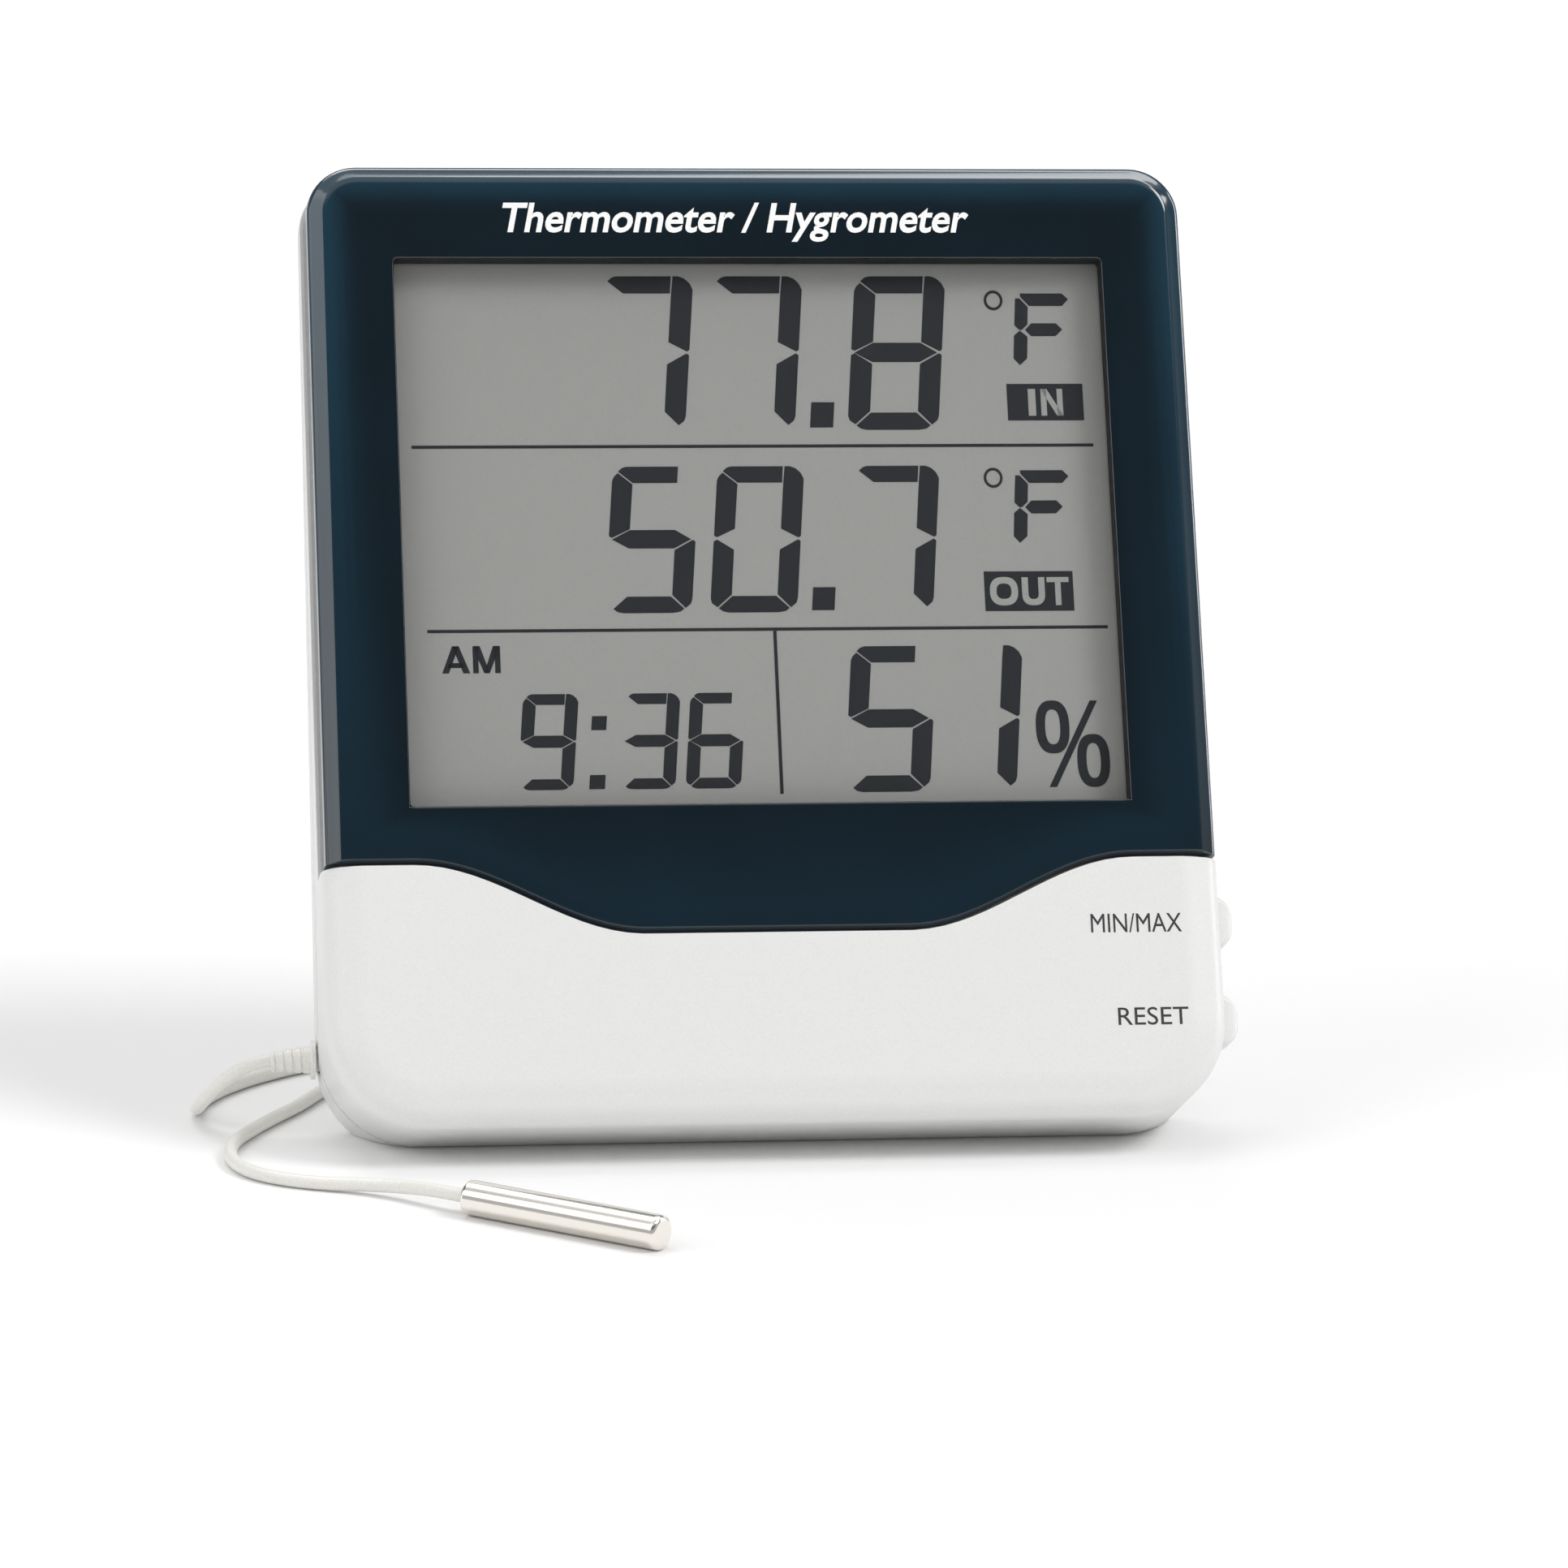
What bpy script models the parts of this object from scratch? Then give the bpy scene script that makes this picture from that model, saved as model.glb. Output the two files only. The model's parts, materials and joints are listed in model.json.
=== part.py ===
"""Digital maximum-minimum thermometer with a wired outdoor probe, standing on its fold-out stand.

Case frame: X to the right, Y from the front face to the rear, Z up the face from its bottom edge.
The case leans back on the table by LEAN, held by an empty called stance.
"""
from math import atan2, cos, pi, radians, sin

import bmesh
import bpy
from mathutils import Matrix, Vector

MM = 0.001
GAP = 0.3 * MM                      # clearance between pieces that touch on the real object

# Case
CASE_HALF_WIDTH = 49.9 * MM
CASE_HEIGHT = 109.6 * MM
DEPTH_BOTTOM = 20.5 * MM            # the rear plane is nearer to the face at the top
DEPTH_TOP = 10.5 * MM
PARTING_BOTTOM = 13.5 * MM          # where front and rear housings meet
PARTING_TOP = 8.2 * MM
TOP_CORNER = 6.0 * MM
BOTTOM_CORNER = 11.0 * MM
LEAN = radians(25.0)
CONTACT_DEPTH = 13.5 * MM           # where the foot facet starts, behind the face
WALL = 1.8 * MM
CHIN_WALL = 2.0 * MM

# Bezel and display
BEZEL_INSET = 0.4 * MM
BEZEL_WALL = 1.4 * MM
BEZEL_FRONT = 1.8 * MM
BEZEL_DEPTH = 7.0 * MM
CHIN_MIDDLE = 20.8 * MM             # height of the chin's edge in the middle and at the sides
CHIN_SIDE = 28.8 * MM
CHIN_FLAT = 14.5 * MM
CHIN_SHOULDER = 40.0 * MM
WINDOW_HALF_WIDTH = 40.1 * MM
WINDOW_BOTTOM = 35.35 * MM
WINDOW_TOP = 98.2 * MM
CORE_HALF_WIDTH = CASE_HALF_WIDTH - BEZEL_INSET - BEZEL_WALL - GAP
CORE_TOP = CASE_HEIGHT - BEZEL_INSET - BEZEL_WALL - GAP
BOARD_FRONT = 7.4 * MM
BOARD_BACK = 8.6 * MM
PART_FACE = BOARD_BACK + GAP        # where the board's components start

# Keys
KEY_HEIGHTS = {"minmax": 22.9 * MM, "reset": 11.7 * MM}
KEY_DEPTH = 9.2 * MM
KEY_PEAK = 52.5 * MM
REAR_KEY_HEIGHT = 72.0 * MM
REAR_KEYS = {"mode_key": -16.0 * MM, "set_key": 0.0, "unit_key": 16.0 * MM}

# Stand
HINGE_HEIGHT = 58.0 * MM            # up the rear face
HINGE_SINK = 1.8 * MM               # below the rear face
STAND_ANGLE = radians(10.0)         # of the legs from the vertical when the stand is out
STAND_THICK = 2.6 * MM
STAND_INNER = 30.0 * MM
STAND_OUTER = 36.0 * MM
CHANNEL_DEPTH = 3.6 * MM

# Battery bay, on the rear face
BAY_HEIGHT = 21.0 * MM
BAY_HALF_LENGTH = 25.6 * MM
BAY_HALF_WIDTH = 5.7 * MM
BAY_DEPTH = 12.6 * MM
DOOR_HALF_LENGTH = 27.3 * MM
DOOR_HALF_WIDTH = 7.4 * MM
DOOR_THICK = 1.3 * MM
CELL_RADIUS = 5.2 * MM
CELL_SINK = 7.15 * MM

# Fasteners: (x, z, depth of the head's seat in front of the rear plane)
SCREW_PLACES = [(sx * x, z, sink) for x, z, sink in
                ((36.0 * MM, 103.6 * MM, 1.5 * MM), (41.5 * MM, 6.3 * MM, 4.6 * MM)) for sx in (-1, 1)]
BOARD_SCREWS = [(sx * 41.7 * MM, z) for sx in (-1, 1) for z in (45.0 * MM, 85.0 * MM)]

# Cable and probe
CABLE_RADIUS = 0.75 * MM
EXIT = Vector((-CASE_HALF_WIDTH, 15.6 * MM, 10.4 * MM))
PROBE_RADIUS = 1.9 * MM
PROBE_LENGTH = 24.8 * MM
PROBE_REAR = Vector((-36.42, -16.69, 1.9)) * MM
PROBE_HEADING = Vector((0.755, -0.656, 0.0))
COIL_CENTRE = Vector((4.0, 73.0, 0.0)) * MM
COIL_RADIUS = 17.0 * MM
COIL_HALF_WIDTH = 3.4 * MM
COIL_BASE = 0.75 * MM
COIL_TOP = 10.1 * MM

# The origin is at the bottom centre of the standing case.
ORIGIN_X = 1.3 * MM
ORIGIN_Y = 27.917 * MM

WEDGE = atan2(DEPTH_BOTTOM - DEPTH_TOP, CASE_HEIGHT)

# Table frame: X as the case, Y to the rear from the case's front edge, Z up from the table.
CABLE_TO_COIL = [Vector(p) * MM for p in (
    (-54.4, 18.53, 8.54), (-56.6, 18.6, 8.2), (-58.7, 19.1, 7.2), (-60.5, 20.1, 5.6),
    (-61.8, 21.7, 3.8), (-62.5, 24.0, 2.2), (-62.6, 26.8, 1.2), (-62.1, 30.0, 0.8),
    (-60.6, 34.0, 0.77), (-57.6, 38.9, 0.77), (-53.2, 43.9, 0.77), (-47.5, 48.5, 0.77),
    (-40.5, 52.5, 0.77), (-32.5, 56.4, 0.77), (-25.0, 60.9, 0.9), (-19.6, 66.0, 1.3),
    (-17.4, 71.5, 1.5))]
CABLE_TO_PROBE = [Vector(p) * MM for p in (
    (-5.0, 52.6, 8.2), (-11.0, 52.2, 6.2), (-17.0, 51.9, 4.0), (-23.0, 51.4, 2.0),
    (-28.5, 50.8, 1.0), (-33.7, 49.7, 0.77), (-38.4, 47.5, 0.77), (-42.4, 44.2, 0.77),
    (-45.6, 39.9, 0.77), (-48.2, 35.0, 0.77), (-51.1, 28.9, 0.77), (-54.2, 23.5, 0.77),
    (-57.1, 18.0, 0.77), (-59.2, 13.2, 0.77), (-60.1, 8.2, 0.77), (-59.7, 3.4, 0.77),
    (-58.1, -0.4, 0.77), (-55.1, -3.4, 0.77), (-51.1, -5.6, 0.8), (-46.8, -7.5, 1.05),
    (-42.7, -10.3, 1.45), (-39.5, -13.5, 1.8), (-36.65, -16.5, 1.9))]

PARTS = bpy.data.collections.new("maximum_minimum_thermometer")
CUTTERS = bpy.data.collections.new("cutters")


def rear(z):
    """Depth of the rear plane at a height up the face."""
    return DEPTH_BOTTOM + (DEPTH_TOP - DEPTH_BOTTOM) * z / CASE_HEIGHT


def parting(z):
    """Depth of the plane where the housings meet."""
    return PARTING_BOTTOM + (PARTING_TOP - PARTING_BOTTOM) * z / CASE_HEIGHT


def clear_scene():
    for obj in list(bpy.data.objects):
        bpy.data.objects.remove(obj, do_unlink=True)
    for collection in (PARTS, CUTTERS):
        bpy.context.scene.collection.children.link(collection)


def material(name, colour, roughness, metallic=0.0, alpha=1.0):
    mat = bpy.data.materials.new(name)
    mat.use_nodes = True
    shader = mat.node_tree.nodes["Principled BSDF"]
    shader.inputs["Base Color"].default_value = (*colour, 1.0)
    shader.inputs["Roughness"].default_value = roughness
    shader.inputs["Metallic"].default_value = metallic
    shader.inputs["Alpha"].default_value = alpha
    return mat


def empty(name, parent=None, location=(0, 0, 0), tilt=0.0):
    obj = bpy.data.objects.new(name, None)
    PARTS.objects.link(obj)
    obj.parent = parent
    obj.location = location
    obj.rotation_euler = (tilt, 0, 0)
    return obj


# ---- shapes -------------------------------------------------------------------------------

def from_bmesh(name, bm):
    bm.normal_update()
    mesh = bpy.data.meshes.new(name)
    bm.to_mesh(mesh)
    bm.free()
    return bpy.data.objects.new(name, mesh)


def box(name, low, high):
    """An upright box between two corners."""
    low, high = Vector(low), Vector(high)
    bm = bmesh.new()
    bmesh.ops.create_cube(bm, size=1.0)
    bmesh.ops.scale(bm, vec=high - low, verts=bm.verts)
    bmesh.ops.translate(bm, vec=(low + high) / 2, verts=bm.verts)
    return from_bmesh(name, bm)


def cylinder(name, radius, start, end, segments=24):
    """A cylinder from one point to another."""
    start, end = Vector(start), Vector(end)
    along = end - start
    bm = bmesh.new()
    bmesh.ops.create_cone(bm, cap_ends=True, segments=segments, radius1=radius, radius2=radius,
                          depth=along.length)
    turn = along.to_track_quat("Z", "Y").to_matrix().to_4x4()
    bmesh.ops.transform(bm, matrix=Matrix.Translation((start + end) / 2) @ turn, verts=bm.verts)
    return from_bmesh(name, bm)


def turned(name, profile, steps=24):
    """A Screw profile of (radius, height) points, listed from the top down."""
    mesh = bpy.data.meshes.new(name)
    points = [(r, 0.0, h) for r, h in profile]
    mesh.from_pydata(points, [(i, i + 1) for i in range(len(points) - 1)], [])
    obj = bpy.data.objects.new(name, mesh)
    screw = obj.modifiers.new("turn", "SCREW")
    screw.steps = screw.render_steps = steps
    screw.use_merge_vertices = True
    screw.merge_threshold = 0.00001
    screw.use_smooth_shade = True
    return obj


def curve(name, points, radius, resolution=2):
    """A round wire through points."""
    data = bpy.data.curves.new(name, "CURVE")
    data.dimensions = "3D"
    data.bevel_depth = radius
    data.bevel_resolution = resolution
    data.use_fill_caps = True
    spline = data.splines.new("POLY")
    spline.points.add(len(points) - 1)
    for point, place in zip(spline.points, points):
        point.co = (*place, 1.0)
    return bpy.data.objects.new(name, data)


def mesh_from(obj):
    """The welded mesh of a curve object, which is then removed."""
    bpy.context.scene.collection.objects.link(obj)
    graph = bpy.context.evaluated_depsgraph_get()
    mesh = bpy.data.meshes.new_from_object(obj.evaluated_get(graph))
    name, world = obj.name, obj.matrix_world.copy()
    bpy.data.objects.remove(obj)
    bm = bmesh.new()
    bm.from_mesh(mesh)
    bmesh.ops.remove_doubles(bm, verts=bm.verts, dist=1e-7)
    result = from_bmesh(name, bm)
    result.matrix_world = world
    return result


def plate(name, outline, front, back):
    """A flat outline in X and Z between two planes; each is a depth or a function of Z."""
    data = bpy.data.curves.new(name, "CURVE")
    data.dimensions = "2D"
    data.fill_mode = "BOTH"
    data.extrude = 0.5
    spline = data.splines.new("POLY")
    spline.points.add(len(outline) - 1)
    for point, (x, z) in zip(spline.points, outline):
        point.co = (x, z, 0.0, 1.0)
    spline.use_cyclic_u = True
    obj = mesh_from(bpy.data.objects.new(name, data))
    for vertex in obj.data.vertices:
        x, z, side = vertex.co
        depth = front if side > 0 else back
        vertex.co = (x, depth(z) if callable(depth) else depth, z)
    return obj


def round_rim(obj, width, segments, front):
    """Bevels the rim of a plate's front or back."""
    bm = bmesh.new()
    bm.from_mesh(obj.data)
    weight = bm.edges.layers.float.new("bevel_weight_edge")
    bm.normal_update()
    for edge in bm.edges:
        facing = [(f.normal.y < -0.8) if front else (f.normal.y > 0.8) for f in edge.link_faces]
        edge[weight] = 1.0 if sorted(facing) == [False, True] else 0.0
    bm.to_mesh(obj.data)
    bm.free()
    bevel = obj.modifiers.new("rim", "BEVEL")
    bevel.limit_method = "WEIGHT"
    bevel.width = width
    bevel.segments = segments
    return obj


def rounded(half_width, bottom, top, low_corner, high_corner, steps=6):
    """A rounded rectangle, anticlockwise from the bottom right."""
    outline = []
    corners = ((half_width - low_corner, bottom + low_corner, low_corner, -90),
               (half_width - high_corner, top - high_corner, high_corner, 0),
               (-half_width + high_corner, top - high_corner, high_corner, 90),
               (-half_width + low_corner, bottom + low_corner, low_corner, 180))
    for x, z, radius, start in corners:
        for i in range(steps + 1):
            angle = radians(start + 90 * i / steps)
            outline.append((x + radius * cos(angle), z + radius * sin(angle)))
    return outline


def rectangle(x0, x1, z0, z1):
    return [(x0, z0), (x1, z0), (x1, z1), (x0, z1)]


def boolean(target, operation, *tools):
    for tool in tools:
        CUTTERS.objects.link(tool)
        tool.hide_render = True
        tool.display_type = "WIRE"
        if tool.parent is None:
            tool.parent = target.parent
        modifier = target.modifiers.new(operation.lower(), "BOOLEAN")
        modifier.operation = operation
        modifier.solver = "EXACT"
        modifier.object = tool
    return target


def cut(target, *tools):
    return boolean(target, "DIFFERENCE", *tools)


def join(target, *tools):
    return boolean(target, "UNION", *tools)


def place(obj, parent, mat, location=(0, 0, 0), rotation=(0, 0, 0)):
    """Puts a part in the model, under its parent."""
    PARTS.objects.link(obj)
    obj.parent = parent
    obj.location = location
    obj.rotation_euler = rotation
    obj.data.materials.append(mat)
    return obj


def smooth(points, spacing):
    """Points at an even spacing along a smooth curve through the given ones."""
    fine = []
    ends = [2 * points[0] - points[1]] + list(points) + [2 * points[-1] - points[-2]]
    for a, b, c, d in zip(ends, ends[1:], ends[2:], ends[3:]):
        for i in range(12):
            t = i / 12
            fine.append(0.5 * (2 * b + (c - a) * t + (2 * a - 5 * b + 4 * c - d) * t * t
                               + (3 * b - a - 3 * c + d) * t ** 3))
    fine.append(points[-1].copy())
    length = sum((q - p).length for p, q in zip(fine, fine[1:]))
    count = round(length / spacing)
    result, travelled, target = [fine[0]], 0.0, length / count
    for p, q in zip(fine, fine[1:]):
        step = (q - p).length
        while travelled + step >= target - 1e-9 and len(result) < count:
            result.append(p.lerp(q, (target - travelled) / step))
            target += length / count
        travelled += step
    result.append(fine[-1])
    return result


# ---- case ---------------------------------------------------------------------------------

def chin_edge(x):
    """Height of the S-shaped edge between chin and bezel."""
    u = min(max((abs(x) - CHIN_FLAT) / (CHIN_SHOULDER - CHIN_FLAT), 0.0), 1.0)
    return CHIN_MIDDLE + (CHIN_SIDE - CHIN_MIDDLE) * (1 - cos(pi * u)) / 2


def above_chin(half_width, top, corner, lift):
    """Outline of what lies above the chin's edge."""
    span = CHIN_SHOULDER - CHIN_FLAT
    across = [CHIN_FLAT + span * i / 7 for i in range(8)]
    stations = [-half_width] + [-x for x in reversed(across)] + across + [half_width]
    outline = [(x, chin_edge(x) + lift) for x in stations]
    upper = rounded(half_width, 0, top, corner, corner)
    return outline + [p for p in upper if p[1] > top - 1.01 * corner]


def case_outline(inset=0.0):
    return rounded(CASE_HALF_WIDTH - inset, inset, CASE_HEIGHT - inset,
                   BOTTOM_CORNER - inset, max(TOP_CORNER - inset, MM))


def below_facet(name, parent, lift=0.0):
    """The half space under the table plane, or a plane parallel to it."""
    block = box(name, (-0.1, -0.1, -0.05), (0.1, 0.1, lift))
    block.parent = parent
    block.location = (0, CONTACT_DEPTH, 0)
    block.rotation_euler = (LEAN, 0, 0)
    return block


def front_housing(stance, mat):
    body = plate("front_housing", case_outline(), 0.0, lambda z: parting(z) - GAP / 2)
    round_rim(body, 2.4 * MM, 3, front=True)
    place(body, stance, mat)
    step = plate("bezel_step", above_chin(0.06, 0.12, MM, 0.0), -0.01, BEZEL_DEPTH + GAP)
    core = rounded(CORE_HALF_WIDTH, 5 * MM, CORE_TOP, MM, 4.2 * MM)
    step.parent = stance
    cut(step, plate("core", core, BEZEL_FRONT + GAP, 0.02))
    inner = CORE_HALF_WIDTH - WALL
    chin_inner = CASE_HALF_WIDTH - CHIN_WALL
    lower = [p for p in rounded(chin_inner, CHIN_WALL, 0.05, 9 * MM, MM) if p[1] < 11.1 * MM]
    upper = [p for p in rounded(inner, 0, CORE_TOP - WALL, MM, 2.6 * MM) if p[1] > 0.05]
    step_height = 27 * MM
    stepped = ([p for p in lower if p[0] > 0] + [(chin_inner, step_height), (inner, step_height)] + upper
               + [(-inner, step_height), (-chin_inner, step_height)] + [p for p in lower if p[0] < 0])
    cavity = plate("cavity", stepped, 4.0 * MM, 0.03)
    chin_cavity = plate("chin_cavity", rounded(chin_inner, CHIN_WALL, 18.8 * MM, 9 * MM, MM),
                        CHIN_WALL, 4.5 * MM)
    opening = plate("display_opening", rectangle(-43 * MM, 43 * MM, 32 * MM, 101 * MM), -0.01, 0.01)
    cut(body, step, cavity, chin_cavity, opening)
    for x, z, _ in SCREW_PLACES:
        join(body, cylinder("boss", 2.3 * MM, (x, 1.5 * MM if z < 0.05 else 3.5 * MM, z),
                            (x, parting(z) - 0.2 * MM, z), 16))
    for x, z, _ in SCREW_PLACES:
        floor = 8.3 * MM if z < 0.05 else 4.4 * MM
        cut(body, cylinder("pilot", 1.3 * MM, (x, floor, z), (x, 0.03, z), 12))
    for height in KEY_HEIGHTS.values():
        cut(body, box("key_hole", (0.047, KEY_DEPTH - 2.3 * MM, height - 3.3 * MM),
                      (0.055, KEY_DEPTH + 2.3 * MM, height + 3.3 * MM)))
    return body


def bezel(stance, mat):
    half = CASE_HALF_WIDTH - BEZEL_INSET
    top = CASE_HEIGHT - BEZEL_INSET
    body = plate("bezel", above_chin(half, top, TOP_CORNER - BEZEL_INSET, GAP), 0.0, BEZEL_DEPTH)
    round_rim(body, 1.4 * MM, 2, front=True)
    place(body, stance, mat)
    hollow = rounded(half - BEZEL_WALL, 5 * MM, top - BEZEL_WALL, MM, 4.3 * MM)
    window = rounded(WINDOW_HALF_WIDTH, WINDOW_BOTTOM, WINDOW_TOP, 0.8 * MM, 0.8 * MM, 3)
    return cut(body, plate("bezel_hollow", hollow, BEZEL_FRONT, 0.02),
               plate("window_cut", window, -0.01, 0.01))


def rear_frame_box(name, rear_plane, low, high):
    piece = box(name, low, high)
    piece.parent = rear_plane
    return piece


def stand_channels(name, rear_plane, grow, depth, over):
    """Legs' and foot bar's recess on the rear face, grown by a wall where it backs the recess."""
    low, high = STAND_INNER - GAP - grow, STAND_OUTER + 0.4 * MM + grow
    top = HINGE_HEIGHT + 1.5 * MM + grow
    foot = stand_foot_height() - 0.3 * MM
    bar = foot + 6.45 * MM + grow
    corner = MM                     # cut off where the stand's inside corners are rounded
    outline = [(-high, foot - grow), (high, foot - grow), (high, top), (low, top),
               (low, bar + corner), (low - corner, bar), (corner - low, bar), (-low, bar + corner),
               (-low, top), (-high, top)]
    piece = plate(name, outline, -depth, over)
    piece.parent = rear_plane
    return piece


def rear_housing(stance, rear_plane, mat):
    body = plate("rear_housing", case_outline(), lambda z: parting(z) + GAP / 2, rear)
    round_rim(body, 1.5 * MM, 2, front=False)
    place(body, stance, mat)
    cavity = plate("rear_cavity", case_outline(WALL), 0.0, lambda z: rear(z) - WALL)
    cavity.parent = stance
    cut(cavity, below_facet("facet_wall", stance, WALL),
        stand_channels("channel_wall", rear_plane, 1.4 * MM, CHANNEL_DEPTH + 1.3 * MM, 0.01),
        rear_frame_box("bay_wall", rear_plane,
                       (-29.0 * MM, -BAY_DEPTH - 0.9 * MM, BAY_HEIGHT - 9.1 * MM),
                       (29.0 * MM, 0.01, BAY_HEIGHT + 9.1 * MM)))
    for x, z, _ in SCREW_PLACES:
        cut(cavity, cylinder("column", 3.5 * MM, (x, -0.01, z), (x, 0.04, z), 16))
    cut(body, cavity, below_facet("facet", stance),
        stand_channels("channels", rear_plane, 0.0, CHANNEL_DEPTH, 0.01))
    cut(body,
        rear_frame_box("bay", rear_plane, (-BAY_HALF_LENGTH, -BAY_DEPTH, BAY_HEIGHT - BAY_HALF_WIDTH),
                       (BAY_HALF_LENGTH, 0.01, BAY_HEIGHT + BAY_HALF_WIDTH)),
        rear_frame_box("door_rebate", rear_plane,
                       (-DOOR_HALF_LENGTH - GAP, -DOOR_THICK - GAP, BAY_HEIGHT - DOOR_HALF_WIDTH - GAP),
                       (DOOR_HALF_LENGTH + GAP, 0.01, BAY_HEIGHT + DOOR_HALF_WIDTH + GAP)))
    pins = cylinder("pin_sockets", 1.2 * MM, (-38.8 * MM, -HINGE_SINK, HINGE_HEIGHT),
                    (38.8 * MM, -HINGE_SINK, HINGE_HEIGHT), 20)
    pins.parent = rear_plane
    cut(body, pins, *keyhole_cutters(rear_plane))
    for x in REAR_KEYS.values():
        hole = cylinder("rear_key_hole", 3.2 * MM, (x, -0.01, REAR_KEY_HEIGHT),
                        (x, 0.01, REAR_KEY_HEIGHT), 20)
        hole.parent = rear_plane
        cut(body, hole)
    for x, z, sink in SCREW_PLACES:
        cut(body, cylinder("screw_hole", 1.3 * MM, (x, -0.01, z), (x, 0.04, z), 12),
            cylinder("screw_seat", 2.2 * MM, (x, rear(z) - sink - GAP, z), (x, 0.04, z), 16))
    for i in range(4):
        height = (38.0 + 4.0 * i) * MM
        cut(body, rear_frame_box("vent", rear_plane, (-46.0 * MM, -4.0 * MM, height),
                                 (-40.5 * MM, 0.01, height + 1.2 * MM)))
    cut(body, cylinder("cable_hole", 1.6 * MM, EXIT - Vector((0.01, 0, 0)), EXIT + Vector((0.01, 0, 0)), 20))
    return body


def keyhole_cutters(rear_plane):
    low, high = 95.4 * MM, 100.9 * MM
    cutters = [cylinder("keyhole_entry", 3.6 * MM, (0, -3.0 * MM, low), (0, 0.01, low), 24),
               box("keyhole_slot", (-1.9 * MM, -3.0 * MM, low), (1.9 * MM, 0.01, high)),
               cylinder("keyhole_end", 1.9 * MM, (0, -3.0 * MM, high), (0, 0.01, high), 16)]
    for cutter in cutters:
        cutter.parent = rear_plane
    return cutters


# ---- display and electronics -----------------------------------------------------------------

def display(stance, mats):
    place(box("display_window", (-42.6 * MM, 2.1 * MM, 32.4 * MM), (42.6 * MM, 2.9 * MM, 100.6 * MM)),
          stance, mats["clear"])
    glass = box("lcd_panel", (-42.4 * MM, 3.2 * MM, 32.6 * MM), (42.4 * MM, 4.2 * MM, 100.4 * MM))
    place(glass, stance, mats["lcd"])
    join(glass, box("lcd_back_glass", (-42.4 * MM, 4.0 * MM, 36.5 * MM), (42.4 * MM, 5.2 * MM, 100.4 * MM)))
    holder = plate("lcd_holder", rectangle(-44.8 * MM, 44.8 * MM, 29.8 * MM, 100.9 * MM),
                   5.5 * MM, 7.1 * MM)
    place(holder, stance, mats["inner_plastic"])
    cut(holder, plate("holder_opening", rectangle(-38.4 * MM, 38.4 * MM, 32.4 * MM, 95.0 * MM), 0.0, 0.02))
    left, tail, right = -44.6 * MM, 37.0 * MM, 44.1 * MM
    low, middle, high = 8.9 * MM, 32.2 * MM, 90.5 * MM
    board = plate("circuit_board", [(left, middle), (tail, middle), (tail, low), (right, low),
                                    (right, high), (left, high)], BOARD_FRONT, BOARD_BACK)
    place(board, stance, mats["board"])
    for x, z in BOARD_SCREWS:
        cut(holder, cylinder("holder_hole", 1.1 * MM, (x, 0, z), (x, 0.02, z), 12))
        cut(board, cylinder("board_hole", 1.1 * MM, (x, 0, z), (x, 0.02, z), 12))
    place(box("contact_strip", (-35 * MM, 4.5 * MM, 32.9 * MM), (35 * MM, 7.1 * MM, 35.6 * MM)),
          stance, mats["strip"])


def screw(name, length, head_radius, shank_radius, head_height):
    """Head up, tip down, from height 0 at the head's top."""
    profile = [(0, 0), (head_radius, 0), (head_radius, -head_height), (shank_radius, -head_height),
               (shank_radius, -length + shank_radius), (0, -length)]
    return turned(name, profile, 16)


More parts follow.
